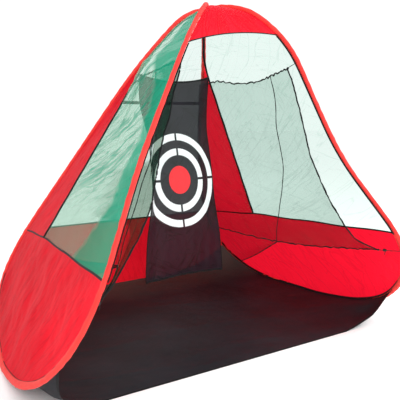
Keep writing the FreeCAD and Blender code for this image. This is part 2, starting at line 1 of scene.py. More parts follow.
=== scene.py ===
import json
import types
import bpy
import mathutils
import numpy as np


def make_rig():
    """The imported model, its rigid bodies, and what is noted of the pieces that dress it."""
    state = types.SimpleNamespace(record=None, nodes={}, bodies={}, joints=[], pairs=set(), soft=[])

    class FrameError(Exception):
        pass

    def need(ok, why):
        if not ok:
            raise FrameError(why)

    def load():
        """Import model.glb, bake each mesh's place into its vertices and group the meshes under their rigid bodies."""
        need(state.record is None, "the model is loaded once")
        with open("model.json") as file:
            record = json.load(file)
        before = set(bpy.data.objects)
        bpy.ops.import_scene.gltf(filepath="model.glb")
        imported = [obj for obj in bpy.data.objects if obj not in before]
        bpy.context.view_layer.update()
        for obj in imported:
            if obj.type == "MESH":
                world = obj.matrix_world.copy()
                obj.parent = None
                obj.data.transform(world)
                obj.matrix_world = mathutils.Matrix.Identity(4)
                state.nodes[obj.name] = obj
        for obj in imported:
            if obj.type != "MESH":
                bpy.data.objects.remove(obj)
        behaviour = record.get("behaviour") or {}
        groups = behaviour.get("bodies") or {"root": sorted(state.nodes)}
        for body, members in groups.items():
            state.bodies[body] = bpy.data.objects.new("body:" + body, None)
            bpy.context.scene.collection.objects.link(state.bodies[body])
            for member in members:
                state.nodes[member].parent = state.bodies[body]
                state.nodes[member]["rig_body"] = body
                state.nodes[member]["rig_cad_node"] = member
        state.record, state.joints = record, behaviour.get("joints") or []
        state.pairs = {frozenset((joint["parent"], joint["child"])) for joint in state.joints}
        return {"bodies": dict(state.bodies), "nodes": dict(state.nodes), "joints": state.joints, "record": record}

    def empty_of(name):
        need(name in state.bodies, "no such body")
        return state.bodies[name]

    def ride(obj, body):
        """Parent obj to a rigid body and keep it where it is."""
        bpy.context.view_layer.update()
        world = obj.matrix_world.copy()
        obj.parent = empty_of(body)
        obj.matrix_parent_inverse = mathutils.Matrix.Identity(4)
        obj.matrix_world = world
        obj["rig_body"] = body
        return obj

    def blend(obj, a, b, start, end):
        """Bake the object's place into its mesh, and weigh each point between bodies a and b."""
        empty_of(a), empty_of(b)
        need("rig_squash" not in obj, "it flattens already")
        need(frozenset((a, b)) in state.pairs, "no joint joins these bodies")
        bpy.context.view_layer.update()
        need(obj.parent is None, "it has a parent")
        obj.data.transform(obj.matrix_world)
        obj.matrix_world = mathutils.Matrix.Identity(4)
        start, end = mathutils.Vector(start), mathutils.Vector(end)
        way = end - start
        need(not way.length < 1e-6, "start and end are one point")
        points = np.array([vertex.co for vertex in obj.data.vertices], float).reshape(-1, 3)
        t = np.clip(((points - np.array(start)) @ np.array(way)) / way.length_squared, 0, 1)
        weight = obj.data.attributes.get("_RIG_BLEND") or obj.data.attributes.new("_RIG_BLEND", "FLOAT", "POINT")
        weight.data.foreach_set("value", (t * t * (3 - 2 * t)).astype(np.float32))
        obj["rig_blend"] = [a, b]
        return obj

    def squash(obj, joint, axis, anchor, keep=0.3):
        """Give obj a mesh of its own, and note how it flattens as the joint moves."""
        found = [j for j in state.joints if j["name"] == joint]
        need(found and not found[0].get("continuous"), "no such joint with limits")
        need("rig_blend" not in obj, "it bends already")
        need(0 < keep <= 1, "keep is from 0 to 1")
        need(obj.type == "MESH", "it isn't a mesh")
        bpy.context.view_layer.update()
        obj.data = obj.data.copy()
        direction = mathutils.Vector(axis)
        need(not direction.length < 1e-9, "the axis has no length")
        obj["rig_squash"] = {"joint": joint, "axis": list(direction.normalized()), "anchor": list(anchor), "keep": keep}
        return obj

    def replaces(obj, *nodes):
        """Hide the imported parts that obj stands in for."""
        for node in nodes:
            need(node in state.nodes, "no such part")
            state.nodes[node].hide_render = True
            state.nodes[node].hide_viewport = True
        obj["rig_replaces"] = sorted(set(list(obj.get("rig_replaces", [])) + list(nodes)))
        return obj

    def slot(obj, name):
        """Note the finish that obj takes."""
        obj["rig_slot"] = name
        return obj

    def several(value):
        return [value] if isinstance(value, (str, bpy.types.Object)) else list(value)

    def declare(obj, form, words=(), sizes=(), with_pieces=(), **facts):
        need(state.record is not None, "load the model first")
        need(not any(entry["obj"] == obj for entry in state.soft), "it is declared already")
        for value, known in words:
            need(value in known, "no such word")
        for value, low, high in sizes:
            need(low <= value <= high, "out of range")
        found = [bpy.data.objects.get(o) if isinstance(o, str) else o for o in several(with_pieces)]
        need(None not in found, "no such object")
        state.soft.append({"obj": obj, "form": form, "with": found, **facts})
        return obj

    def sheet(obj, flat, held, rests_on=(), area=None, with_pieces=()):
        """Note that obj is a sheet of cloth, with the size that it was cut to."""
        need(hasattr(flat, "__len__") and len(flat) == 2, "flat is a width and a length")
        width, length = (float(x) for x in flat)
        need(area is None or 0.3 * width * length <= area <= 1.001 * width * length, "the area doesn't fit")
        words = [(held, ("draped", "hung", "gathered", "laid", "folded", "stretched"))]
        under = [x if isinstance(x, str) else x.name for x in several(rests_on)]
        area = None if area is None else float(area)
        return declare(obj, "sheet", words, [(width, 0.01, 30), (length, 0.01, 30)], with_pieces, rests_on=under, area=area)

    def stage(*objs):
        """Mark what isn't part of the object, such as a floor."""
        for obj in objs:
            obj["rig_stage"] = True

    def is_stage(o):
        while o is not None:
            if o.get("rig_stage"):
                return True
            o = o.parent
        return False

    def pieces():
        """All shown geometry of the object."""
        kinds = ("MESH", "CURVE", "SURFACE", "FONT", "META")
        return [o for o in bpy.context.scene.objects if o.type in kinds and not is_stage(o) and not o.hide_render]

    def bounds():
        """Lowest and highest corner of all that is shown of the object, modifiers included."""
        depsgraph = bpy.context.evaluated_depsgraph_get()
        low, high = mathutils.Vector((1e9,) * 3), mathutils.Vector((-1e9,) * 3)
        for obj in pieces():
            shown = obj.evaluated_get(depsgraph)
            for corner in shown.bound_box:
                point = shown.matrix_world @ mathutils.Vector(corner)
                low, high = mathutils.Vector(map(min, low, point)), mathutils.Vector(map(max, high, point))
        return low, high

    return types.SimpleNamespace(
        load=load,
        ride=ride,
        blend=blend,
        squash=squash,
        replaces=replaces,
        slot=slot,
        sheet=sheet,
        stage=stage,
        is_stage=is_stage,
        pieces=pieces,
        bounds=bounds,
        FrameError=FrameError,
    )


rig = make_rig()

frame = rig.load()
cad_lo, cad_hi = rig.bounds()

import json
import math
import bpy
import numpy as np
from mathutils import Vector

A = np.array
FWD = 0.331                       # the crossing stands this far in front of the origin
APEX = A([0.0, -FWD, 2.10])
LEFT, RIGHT = "left_wing", "right_wing"


def at(x, y, z):
    return A([x, y - FWD, z])


# ------------------------------------------------------------- hoop route
HOOP = A([
    (0, 0, 2.1), (.1483, -.2342, 2.0811), (.3418, -.3711, 1.8797), (.6392, -.4546, 1.3019),
    (.7333, -.5073, 1.1307), (.9928, -.7241, .6887), (1.1056, -.7007, .4557), (1.2059, -.4901, .2075),
    (1.258, -.18, .076), (1.254, .215, .015), (1.163, .852, .015), (1.0962, 1.1303, .0923),
    (1.0036, 1.3334, .2508), (.8703, 1.3468, .4895), (.7114, 1.2165, .7793), (.5036, .9198, 1.2076),
    (.2712, .4656, 1.7527), (.0843, .1622, 2.066), (0, 0, 2.1)])


def route():
    V = HOOP
    out = []
    at0 = V[0]
    for k in range(1, len(V) - 1):
        a = V[k - 1] - V[k]
        b = V[k + 1] - V[k]
        la, lb = np.linalg.norm(a), np.linalg.norm(b)
        T = .45 * min(la, lb)
        if k == 9:
            T = .10
        if k == 10:
            T = .15
        a, b = a / la, b / lb
        turn = math.pi - math.acos(np.clip(a @ b, -1, 1))
        r = T / math.tan(turn / 2)
        n = (a + b) / np.linalg.norm(a + b)
        c = V[k] + n * (r / math.cos(turn / 2))
        p0, p1 = V[k] + a * T, V[k] + b * T
        L = np.linalg.norm(p0 - at0)
        m = max(2, int(L / .01))
        out += [at0 + (p0 - at0) * (j / m) for j in range(m)]
        m = max(3, int(r * turn / .01))
        for j in range(m):
            f = j / m
            out.append(c + ((p0 - c) * math.sin((1 - f) * turn) + (p1 - c) * math.sin(f * turn)) / math.sin(turn))
        at0 = p1
    L = np.linalg.norm(V[-1] - at0)
    m = int(L / .01)
    out += [at0 + (V[-1] - at0) * (j / m) for j in range(m + 1)]
    P = A(out)
    s = np.r_[0, np.cumsum(np.linalg.norm(np.diff(P, axis=0), axis=1))]
    n = 1400
    S = np.linspace(0, s[-1], n)
    P = np.c_[[np.interp(S, s, P[:, i]) for i in range(3)]].T
    # a fabric sleeve bends evenly: ease the runs and arcs into one curve
    step = S[1]
    g = int(.06 / step)
    w = np.exp(-.5 * (np.arange(-3 * g, 3 * g + 1) / g) ** 2)
    w /= w.sum()
    mir = A([-1, 1, 1])
    ext = np.vstack([P[-3 * g - 1:-1] * mir, P, P[1:3 * g + 1] * mir])
    Q = np.c_[[np.convolve(ext[:, i], w, "valid") for i in range(3)]].T
    Q[:, 2] = np.maximum(Q[:, 2], .0155)
    Q[:, 1] -= FWD
    return S, Q


S_, Q_ = route()
TOTAL = S_[-1]


def on(s):
    return A([np.interp(s, S_, Q_[:, i]) for i in range(3)]).T


def tan(s):
    t = on(np.asarray(s) + .012) - on(np.asarray(s) - .012)
    return t / np.linalg.norm(t, axis=-1, keepdims=True)


def station(z, a, b):
    s = np.linspace(a, b, 4000)
    return s[np.abs(on(s)[:, 2] - z).argmin()]


LOW_F = station(.728, .3, 2.4)
BASE_F = station(.235, LOW_F, 3.0)
BASE_R = station(.150, 3.9, 4.8)
LOW_R = station(.590, BASE_R, 6.0)
WEDGE = station(1.80, LOW_R, TOTAL - .3)
MIR = A([-1.0, 1, 1])


def beside(s, toward, gap=.0165):
    p, t = on(s), tan(s)
    d = toward - p
    d = d - t * (d @ t)
    return p + d / np.linalg.norm(d) * gap


def poly(pts, f):
    pts = A(pts)
    L = np.r_[0, np.cumsum(np.linalg.norm(np.diff(pts, axis=0), axis=1))]
    return A([np.interp(f * L[-1], L, pts[:, i]) for i in range(3)])


def spline(pts, f):
    """Smooth curve through points, by length share."""
    pts = A(pts, )
    L = np.r_[0, np.cumsum(np.linalg.norm(np.diff(pts, axis=0), axis=1))]
    L /= L[-1]
    n = len(pts)
    m = np.zeros_like(pts)
    for i in range(n):
        a, b = max(i - 1, 0), min(i + 1, n - 1)
        m[i] = (pts[b] - pts[a]) / (L[b] - L[a])
    k = min(max(int(np.searchsorted(L, f, "right")) - 1, 0), n - 2)
    h = L[k + 1] - L[k]
    u = (f - L[k]) / h
    return ((2 * u ** 3 - 3 * u ** 2 + 1) * pts[k] + (u ** 3 - 2 * u ** 2 + u) * h * m[k]
            + (-2 * u ** 3 + 3 * u ** 2) * pts[k + 1] + (u ** 3 - u ** 2) * h * m[k + 1])


def coons(top, low, left, right, ni, nj):
    G = np.zeros((ni, nj, 3))
    t = A([top(j / (nj - 1)) for j in range(nj)])
    b = A([low(j / (nj - 1)) for j in range(nj)])
    l = A([left(i / (ni - 1)) for i in range(ni)])
    r = A([right(i / (ni - 1)) for i in range(ni)])
    u = np.linspace(0, 1, nj)[None, :, None]
    v = np.linspace(0, 1, ni)[:, None, None]
    G = (t[None] * (1 - v) + b[None] * v + l[:, None] * (1 - u) + r[:, None] * u
         - (t[0] * (1 - u) * (1 - v) + t[-1] * u * (1 - v) + b[0] * (1 - u) * v + b[-1] * u * v))
    return G


# ----------------------------------------------------------- grid helpers
def normals(G):
    du = np.gradient(G, axis=0)
    dv = np.gradient(G, axis=1)
    n = np.cross(du, dv)
    return n / (np.linalg.norm(n, axis=-1, keepdims=True) + 1e-12)


def waves(x, y, seed, scale, count=14, spread=1.0, heading=None, fan=3.14):
    """Smooth seeded unevenness in metres of cloth, about -1 to 1."""
    rng = np.random.default_rng(seed)
    out = np.zeros_like(x)
    for _ in range(count):
        a = rng.uniform(-fan / 2, fan / 2) + (heading if heading is not None else 0)
        k = 2 * math.pi / (scale * rng.uniform(.55, 1.6) * spread)
        out += np.sin((x * math.cos(a) + y * math.sin(a)) * k + rng.uniform(0, 6.28))
    return out / math.sqrt(count) * .8


def cloth_uv(G):
    ni, nj = G.shape[:2]
    mi = G[:, nj // 2]
    mj = G[ni // 2]
    v = np.r_[0, np.cumsum(np.linalg.norm(np.diff(mi, axis=0), axis=1))]
    u = np.r_[0, np.cumsum(np.linalg.norm(np.diff(mj, axis=0), axis=1))]
    return np.stack(np.meshgrid(v, u, indexing="ij"), -1)[..., ::-1]


def ease_edges(ni, nj, wide=.12):
    i = np.linspace(0, 1, ni)
    j = np.linspace(0, 1, nj)
    fi = np.clip(np.minimum(i, 1 - i) / wide, 0, 1)
    fj = np.clip(np.minimum(j, 1 - j) / wide, 0, 1)
    f = np.outer(fi * fi * (3 - 2 * fi), fj * fj * (3 - 2 * fj))
    return f[..., None]


def mesh_from(name, verts, faces, mat, uvs=None, smooth=True):
    me = bpy.data.meshes.new(name)
    me.from_pydata([tuple(map(float, v)) for v in verts], [], faces)
    if uvs is not None:
        lay = me.uv_layers.new(name="UVMap")
        idx = np.zeros(len(me.loops), int)
        me.loops.foreach_get("vertex_index", idx)
        lay.data.foreach_set("uv", np.asarray(uvs, float)[idx].ravel())
    me.materials.append(mat)
    for p in me.polygons:
        p.use_smooth = smooth
    me.validate()
    me.update()
    ob = bpy.data.objects.new(name, me)
    bpy.context.scene.collection.objects.link(ob)
    return ob


SHEETS = {}


def grid_mesh(name, G, mat, uv=None, flip=False):
    ni, nj = G.shape[:2]
    f = []
    for i in range(ni - 1):
        for j in range(nj - 1):
            q = (i * nj + j, i * nj + j + 1, (i + 1) * nj + j + 1, (i + 1) * nj + j)
            f.append(q[::-1] if flip else q)
    if uv is None:
        uv = cloth_uv(G)
    ob = mesh_from(name, G.reshape(-1, 3), f, mat, uv.reshape(-1, 2))
    share = np.stack(np.meshgrid(np.linspace(0, 1, ni), np.linspace(0, 1, nj), indexing="ij"), -1)[..., ::-1]
    lay = ob.data.uv_layers.new(name="Share")
    idx = np.zeros(len(ob.data.loops), int)
    ob.data.loops.foreach_get("vertex_index", idx)
    lay.data.foreach_set("uv", share.reshape(-1, 2)[idx].ravel())
    ob.data.uv_layers.active_index = 0
    long_ = np.linalg.norm(np.diff(G, axis=0), axis=-1).sum(0).max()
    wide_ = np.linalg.norm(np.diff(G, axis=1), axis=-1).sum(1).max()
    SHEETS[name] = (float(wide_), float(long_),
                    float(np.linalg.norm(np.cross(np.diff(G, axis=0)[:, :-1], np.diff(G, axis=1)[:-1]), axis=-1).sum()))
    return ob


def both(G, side):
    return G if side > 0 else G * MIR


def tube(name, P, N, rad, mat, sides=12, close=True, bump=None):
    """A tube along P; rad gives (half width along N, half width across) per point."""
    P = A(P)
    t = np.gradient(P, axis=0)
    t /= np.linalg.norm(t, axis=1, keepdims=True) + 1e-12
    N = N - t * (N * t).sum(1, keepdims=True)
    N /= np.linalg.norm(N, axis=1, keepdims=True) + 1e-12
    B = np.cross(t, N)
    n = len(P)
    rad = np.broadcast_to(A(rad, dtype=float), (n, 2)) if np.ndim(rad) else np.full((n, 2), rad)
    a = np.linspace(0, 2 * math.pi, sides + 1)[:-1]
    V = P[:, None] + N[:, None] * (np.cos(a)[None, :, None] * rad[:, 0][:, None, None]) \
        + B[:, None] * (np.sin(a)[None, :, None] * rad[:, 1][:, None, None])
    if bump is not None:
        D = V - P[:, None]
        D /= np.linalg.norm(D, axis=-1, keepdims=True) + 1e-9
        V = V + D * bump(n, sides)[..., None]
    L = np.r_[0, np.cumsum(np.linalg.norm(np.diff(P, axis=0), axis=1))]
    f = []
    for i in range(n - 1):
        for j in range(sides):
            k = (j + 1) % sides
            f.append((i * sides + j, i * sides + k, (i + 1) * sides + k, (i + 1) * sides + j))
    verts = V.reshape(-1, 3)
    uv = np.stack(np.meshgrid(L, np.arange(sides) * .008, indexing="ij"), -1)[..., ::-1].reshape(-1, 2)
    if close:
        verts = np.vstack([verts, P[0], P[-1]])
        uv = np.vstack([uv, [0, 0], [0, L[-1]]])
        c0, c1 = n * sides, n * sides + 1
        for j in range(sides):
            k = (j + 1) % sides
            f.append((c0, k, j))
            f.append((c1, (n - 1) * sides + j, (n - 1) * sides + k))
    return mesh_from(name, verts, f, mat, uv)


def ribbon(name, P, W, N, mat, wide=.014, thick=.0022, cross=5):
    """Flat tape: runs along P, its width along W, crowned slightly along N."""
    P, W, N = A(P), A(W), A(N)
    W = W / (np.linalg.norm(W, axis=1, keepdims=True) + 1e-12)
    N = N / (np.linalg.norm(N, axis=1, keepdims=True) + 1e-12)
    a = np.linspace(0, 2 * math.pi, 2 * cross + 1)[:-1]
    ca = np.sign(np.cos(a)) * np.abs(np.cos(a)) ** .8
    sa = np.sign(np.sin(a)) * np.abs(np.sin(a)) ** .8
    V = P[:, None] + W[:, None] * (ca[None, :, None] * wide / 2) + N[:, None] * (sa[None, :, None] * thick / 2)
    n, m = len(P), len(a)
    f = []
    for i in range(n - 1):
        for j in range(m):
            k = (j + 1) % m
            f.append((i * m + j, i * m + k, (i + 1) * m + k, (i + 1) * m + j))
    f.append(tuple(range(m))[::-1])
    f.append(tuple((n - 1) * m + j for j in range(m)))
    L = np.r_[0, np.cumsum(np.linalg.norm(np.diff(P, axis=0), axis=1))]
    uv = np.stack(np.meshgrid(L, ca * wide / 2, indexing="ij"), -1)[..., ::-1].reshape(-1, 2)
    return mesh_from(name, V.reshape(-1, 3), f, mat, uv)


# -------------------------------------------------------------- materials
def new_mat(name):
    m = bpy.data.materials.new(name)
    m.use_nodes = True
    nt = m.node_tree
    nt.nodes.clear()
    out = nt.nodes.new("ShaderNodeOutputMaterial")
    return m, nt, out


def link(nt, a, b):
    nt.links.new(a, b)


def uv_metres(nt):
    n = nt.nodes.new("ShaderNodeUVMap")
    n.uv_map = "UVMap"
    return n.outputs[0]


def wave(nt, vec, scale, direction="X", dist=0.0, detail=0.0):
    n = nt.nodes.new("ShaderNodeTexWave")
    n.bands_direction = direction
    n.inputs["Scale"].default_value = scale
    n.inputs["Distortion"].default_value = dist
    n.inputs["Detail"].default_value = detail
    link(nt, vec, n.inputs["Vector"])
    return n.outputs["Fac"]


def noise(nt, vec, scale, detail=3.0, rough=.5):
    n = nt.nodes.new("ShaderNodeTexNoise")
    n.inputs["Scale"].default_value = scale
    n.inputs["Detail"].default_value = detail
    n.inputs["Roughness"].default_value = rough
    if vec is not None:
        link(nt, vec, n.inputs["Vector"])
    return n.outputs["Fac"]


def math_(nt, op, a, b=None, clamp=False):
    n = nt.nodes.new("ShaderNodeMath")
    n.operation = op
    n.use_clamp = clamp
    for k, v in enumerate((a, b)):
        if v is None:
            continue
        if isinstance(v, (int, float)):
            n.inputs[k].default_value = v
        else:
            link(nt, v, n.inputs[k])
    return n.outputs[0]


def ramp(nt, fac, stops):
    n = nt.nodes.new("ShaderNodeValToRGB")
    e = n.color_ramp.elements
    while len(e) > 1:
        e.remove(e[-1])
    e[0].position, e[0].color = stops[0][0], (*stops[0][1], 1)
    for p, c in stops[1:]:
        x = e.new(p)
        x.color = (*c, 1)
    link(nt, fac, n.inputs[0])
    return n.outputs[0]


def bump(nt, height, strength, distance):
    n = nt.nodes.new("ShaderNodeBump")
    n.inputs["Strength"].default_value = strength
    n.inputs["Distance"].default_value = distance
    link(nt, height, n.inputs["Height"])
    return n.outputs[0]


def weave(nt, vec, pitch):
    """Plain weave height: two crossed thread waves."""
    k = 1 / (pitch * 2 * math.pi) * math.pi
    a = wave(nt, vec, k, "X", .15, 1)
    b = wave(nt, vec, k, "Y", .15, 1)
    return math_(nt, "MAXIMUM", a, b)


def stretched(nt, vec, turn, sx, sy):
    n = nt.nodes.new("ShaderNodeMapping")
    n.vector_type = "TEXTURE"
    n.inputs["Rotation"].default_value = (0, 0, -turn)
    n.inputs["Scale"].default_value = (1 / sx, 1 / sy, 1)
    link(nt, vec, n.inputs["Vector"])
    return n.outputs[0]


def crease_lines(nt, vec, turn, sx, sy, thin, detail=2.0):
    """Narrow lines where a stretched noise crosses its middle: pulled creases in cloth."""
    n_ = noise(nt, stretched(nt, vec, turn, sx, sy), 1.0, detail, .5)
    d_ = math_(nt, "ABSOLUTE", math_(nt, "SUBTRACT", n_, .5))
    return math_(nt, "SUBTRACT", 1.0, math_(nt, "DIVIDE", d_, thin), True)


def woven(name, dark, light, rough=.55, sheen=.3, spec=.35, pitch=.0012, trans=0.0, crease=.5,
          blotch=2.2, thin_rear=None, pulled=()):
    """Woven cloth. For a raised rear, a (v share from, to, colour) triple paints a paler colour where light comes
    through: painted light; pulled are (turn, sx, sy, thin, depth) creases that are pulled into the cloth: they dent the
    bump, and their lines are painted darker, painted shade."""
    m, nt, out = new_mat(name)
    uv = uv_metres(nt)
    bs = nt.nodes.new("ShaderNodeBsdfPrincipled")
    big = noise(nt, uv, blotch, 4, .55)
    fine = noise(nt, uv, 60, 3, .6)
    mixed = math_(nt, "ADD", math_(nt, "MULTIPLY", big, .75), math_(nt, "MULTIPLY", fine, .25))
    colour = ramp(nt, mixed, [(.3, dark), (.72, light)])
    crease_dent_and_shade = None
    for turn, sx, sy, thin, depth in pulled:
        l_ = math_(nt, "MULTIPLY", crease_lines(nt, uv, turn, sx, sy, thin), depth)
        crease_dent_and_shade = l_ if crease_dent_and_shade is None else math_(nt, "MAXIMUM", crease_dent_and_shade, l_)
    # painted shade: along the crease lines the colour is darkened towards .45 of the dark colour
    if crease_dent_and_shade is not None:
        mp = nt.nodes.new("ShaderNodeMix")
        mp.data_type = "RGBA"
        link(nt, crease_dent_and_shade, mp.inputs[0])
        link(nt, colour, mp.inputs[6])
        mp.inputs[7].default_value = (*(x * .45 for x in dark), 1)
        colour = mp.outputs[2]
    # painted light: over the raised rear a paler colour is mixed into the cloth's colour, where light comes through
    if thin_rear:
        lo, hi, pale = thin_rear
        sep_ = nt.nodes.new("ShaderNodeSeparateXYZ")
        lay = nt.nodes.new("ShaderNodeUVMap")
        lay.uv_map = "Share"
        link(nt, lay.outputs[0], sep_.inputs[0])
        g_ = math_(nt, "DIVIDE", math_(nt, "SUBTRACT", math_(nt, "ADD", sep_.outputs[1], math_(
            nt, "MULTIPLY", math_(nt, "SUBTRACT", noise(nt, uv, 3, 4, .6), .5), .10)), lo), hi - lo, True)
        mp = nt.nodes.new("ShaderNodeMix")
        mp.data_type = "RGBA"
        link(nt, math_(nt, "MULTIPLY", g_, .9), mp.inputs[0])
        link(nt, colour, mp.inputs[6])
        mp.inputs[7].default_value = (*pale, 1)
        colour = mp.outputs[2]
    link(nt, colour, bs.inputs["Base Color"])
    r = math_(nt, "ADD", math_(nt, "MULTIPLY", fine, .16), rough - .08)
    link(nt, r, bs.inputs["Roughness"])
    bs.inputs["Specular IOR Level"].default_value = spec
    bs.inputs["Sheen Weight"].default_value = sheen
    bs.inputs["Sheen Roughness"].default_value = .5
    wv = weave(nt, uv, pitch)
    b1 = bump(nt, wv, .35, pitch * .35)
    cr = noise(nt, uv, 14, 5, .62)
    b2 = nt.nodes.new("ShaderNodeBump")
    b2.inputs["Strength"].default_value = crease
    b2.inputs["Distance"].default_value = .006
    if crease_dent_and_shade is not None:
        cr = math_(nt, "SUBTRACT", cr, math_(nt, "MULTIPLY", crease_dent_and_shade, 1.6))
    link(nt, cr, b2.inputs["Height"])
    link(nt, b1, b2.inputs["Normal"])
    link(nt, b2.outputs[0], bs.inputs["Normal"])
    if trans > 0:
        tr = nt.nodes.new("ShaderNodeBsdfTranslucent")
        tr.inputs["Color"].default_value = (*light, 1)
        mx = nt.nodes.new("ShaderNodeMixShader")
        mx.inputs[0].default_value = trans
        link(nt, bs.outputs[0], mx.inputs[1])
        link(nt, tr.outputs[0], mx.inputs[2])
        link(nt, mx.outputs[0], out.inputs[0])
    else:
        link(nt, bs.outputs[0], out.inputs[0])
    return m


def netting(name, strand, cover, tint=(1, 1, 1), pitch=.0032, vary=.10, trans=.35, creases=(), band=None, fade=None,
            top=.96, fold_shade_colour=None, gathered=None):
    """Knitted mesh: see-through holes between fine threads, on cloth coordinates. creases are (turn, sx, sy,
    thin, strength); band is (softness, more cover, stops of v share and u share) where the cloth is gathered; fade is
    (v from, v to, less); the fold-shade colour is painted shade, the colour that the threads take in gathers and
    creases; gathered is what comes through them."""
    m, nt, out = new_mat(name)
    uv = uv_metres(nt)
    k = 1 / (pitch * 2 * math.pi) * math.pi
    a = wave(nt, uv, k, "X", .3, 1)
    b = wave(nt, uv, k, "Y", .3, 1)
    knit = math_(nt, "MAXIMUM", a, b)
    big = noise(nt, uv, 5.0, 4, .6)
    c = math_(nt, "ADD", math_(nt, "MULTIPLY", math_(nt, "SUBTRACT", knit, .78), vary * 1.4),
              math_(nt, "ADD", math_(nt, "MULTIPLY", math_(nt, "SUBTRACT", big, .5), vary * 2.0), cover))
    lines = None
    for turn, sx, sy, thin, strength in creases:
        l_ = math_(nt, "MULTIPLY", crease_lines(nt, uv, turn, sx, sy, thin), strength)
        lines = l_ if lines is None else math_(nt, "MAXIMUM", lines, l_)
    fold_shade_mask = None
    if band or fade:
        sep_ = nt.nodes.new("ShaderNodeSeparateXYZ")
        lay = nt.nodes.new("ShaderNodeUVMap")
        lay.uv_map = "Share"
        link(nt, lay.outputs[0], sep_.inputs[0])
    if lines is not None:
        if fold_shade_colour:
            low_end = math_(nt, "DIVIDE", math_(nt, "SUBTRACT", .88, sep_.outputs[1]), .16, True)
            lines = math_(nt, "MULTIPLY", lines, low_end)
        c = math_(nt, "ADD", c, lines)
        fold_shade_mask = math_(nt, "MULTIPLY", lines, 3.2, True)
    if band:
        soft, more, stops = band
        wob = math_(nt, "MULTIPLY", math_(nt, "SUBTRACT", noise(nt, stretched(nt, uv, -.42, 1.0, 8.0), 1.0, 3, .6), .5),
                    .34)
        wob = math_(nt, "MULTIPLY", wob, math_(nt, "SUBTRACT", 1.15, sep_.outputs[1]))
        edge_ = ramp(nt, sep_.outputs[1], [(v_, (u_, u_, u_)) for v_, u_ in stops])
        g_ = math_(nt, "DIVIDE", math_(nt, "SUBTRACT", math_(nt, "ADD", edge_, wob), sep_.outputs[0]), soft, True)
        c = math_(nt, "ADD", c, math_(nt, "MULTIPLY", g_, more))
        fold_shade_mask = g_ if fold_shade_mask is None else math_(nt, "MAXIMUM", g_, fold_shade_mask)
    if fade:
        lo, hi, less = fade
        g_ = math_(nt, "DIVIDE", math_(nt, "SUBTRACT", sep_.outputs[1], lo), hi - lo, True)
        c = math_(nt, "SUBTRACT", c, math_(nt, "MULTIPLY", g_, less))
    c = math_(nt, "MINIMUM", math_(nt, "MAXIMUM", c, .03), top)
    bs = nt.nodes.new("ShaderNodeBsdfPrincipled")
    threads = ramp(nt, big, [(.3, tuple(x * .86 for x in strand)), (.7, strand)])
    # painted shade: in gathers and creases the threads take the darker fold-shade colour
    if fold_shade_colour and fold_shade_mask is not None:
        mp = nt.nodes.new("ShaderNodeMix")
        mp.data_type = "RGBA"
        link(nt, fold_shade_mask, mp.inputs[0])
        link(nt, threads, mp.inputs[6])
        mp.inputs[7].default_value = (*fold_shade_colour, 1)
        threads = mp.outputs[2]
    link(nt, threads, bs.inputs["Base Color"])
    bs.inputs["Roughness"].default_value = .6
    bs.inputs["Specular IOR Level"].default_value = .12
    link(nt, bump(nt, knit, .3, .0006), bs.inputs["Normal"])
    tl = nt.nodes.new("ShaderNodeBsdfTranslucent")
    link(nt, threads, tl.inputs["Color"])
    th = nt.nodes.new("ShaderNodeMixShader")
    th.inputs[0].default_value = trans
    link(nt, bs.outputs[0], th.inputs[1])
    link(nt, tl.outputs[0], th.inputs[2])
    tp = nt.nodes.new("ShaderNodeBsdfTransparent")
    shade = tuple(t * .80 for t in tint)
    through = ramp(nt, math_(nt, "ADD", math_(nt, "MULTIPLY", lines, 1.2), .2, True) if lines is not None else big,
                   [(.2, tint), (.62, shade)])
    if gathered and band:
        mp = nt.nodes.new("ShaderNodeMix")
        mp.data_type = "RGBA"
        link(nt, g_, mp.inputs[0])
        link(nt, through, mp.inputs[6])
        mp.inputs[7].default_value = (*gathered, 1)
        through = mp.outputs[2]
    link(nt, through, tp.inputs[0])
    mx = nt.nodes.new("ShaderNodeMixShader")
    link(nt, c, mx.inputs[0])
    link(nt, tp.outputs[0], mx.inputs[1])
    link(nt, th.outputs[0], mx.inputs[2])
    link(nt, mx.outputs[0], out.inputs[0])
    return m


M_SLEEVE = woven("red_sleeve_cloth", (.80, .035, .032), (.93, .062, .050), rough=.6, sheen=.05, spec=.15, pitch=.001,
                 trans=.12, blotch=6)
M_RED = woven("red_skirt_cloth", (.74, .004, .016), (.97, .010, .030), rough=.5, sheen=.0, spec=.07, pitch=.001,
              trans=.30, crease=.6, pulled=[(-1.42, 1.2, 14, .026, .42), (-1.2, 1.6, 10, .020, .36),
                                            (-1.7, 2.0, 20, .016, .3)])
# painted light: a lit copy of the red skirt cloth for the right wing, more translucent so that its inside shows
# brighter
M_RED_LIT_R = woven("red_skirt_cloth_right_lit_copy", (.74, .005, .020), (.92, .008, .030), rough=.55, sheen=.0, spec=.12,
                 pitch=.001, trans=.52, crease=.6, pulled=[(.85, 1.4, 6, .022, .75), (1.15, 1.7, 9, .018, .6)])
# the black floor's raised rear is painted paler where light comes through it: painted light
M_FLOOR = woven("black_floor_cloth", (.007, .0075, .010), (.019, .020, .026), rough=.55, sheen=.0, spec=.16,
                pitch=.0012, crease=.6, thin_rear=(.74, .95, (.080, .078, .068)))
M_BLACK = woven("black_ground_cloth", (.009, .006, .008), (.018, .011, .014), rough=.65, sheen=.0, spec=.10,
                pitch=.0012, crease=.6)
M_TAPE = woven("black_binding", (.005, .005, .006), (.011, .011, .012), rough=.7, sheen=.05, spec=.12,
               pitch=.0018, crease=.2, blotch=30)
M_CORD = woven("black_cord", (.006, .006, .007), (.016, .016, .018), rough=.7, sheen=.1, spec=.15, pitch=.0009,
               crease=.2, blotch=40)
PULLS = [(-.75, 1.1, 13, .012, .09), (.9, 1.3, 12, .010, .07), (1.45, 1.8, 16, .010, .05)]
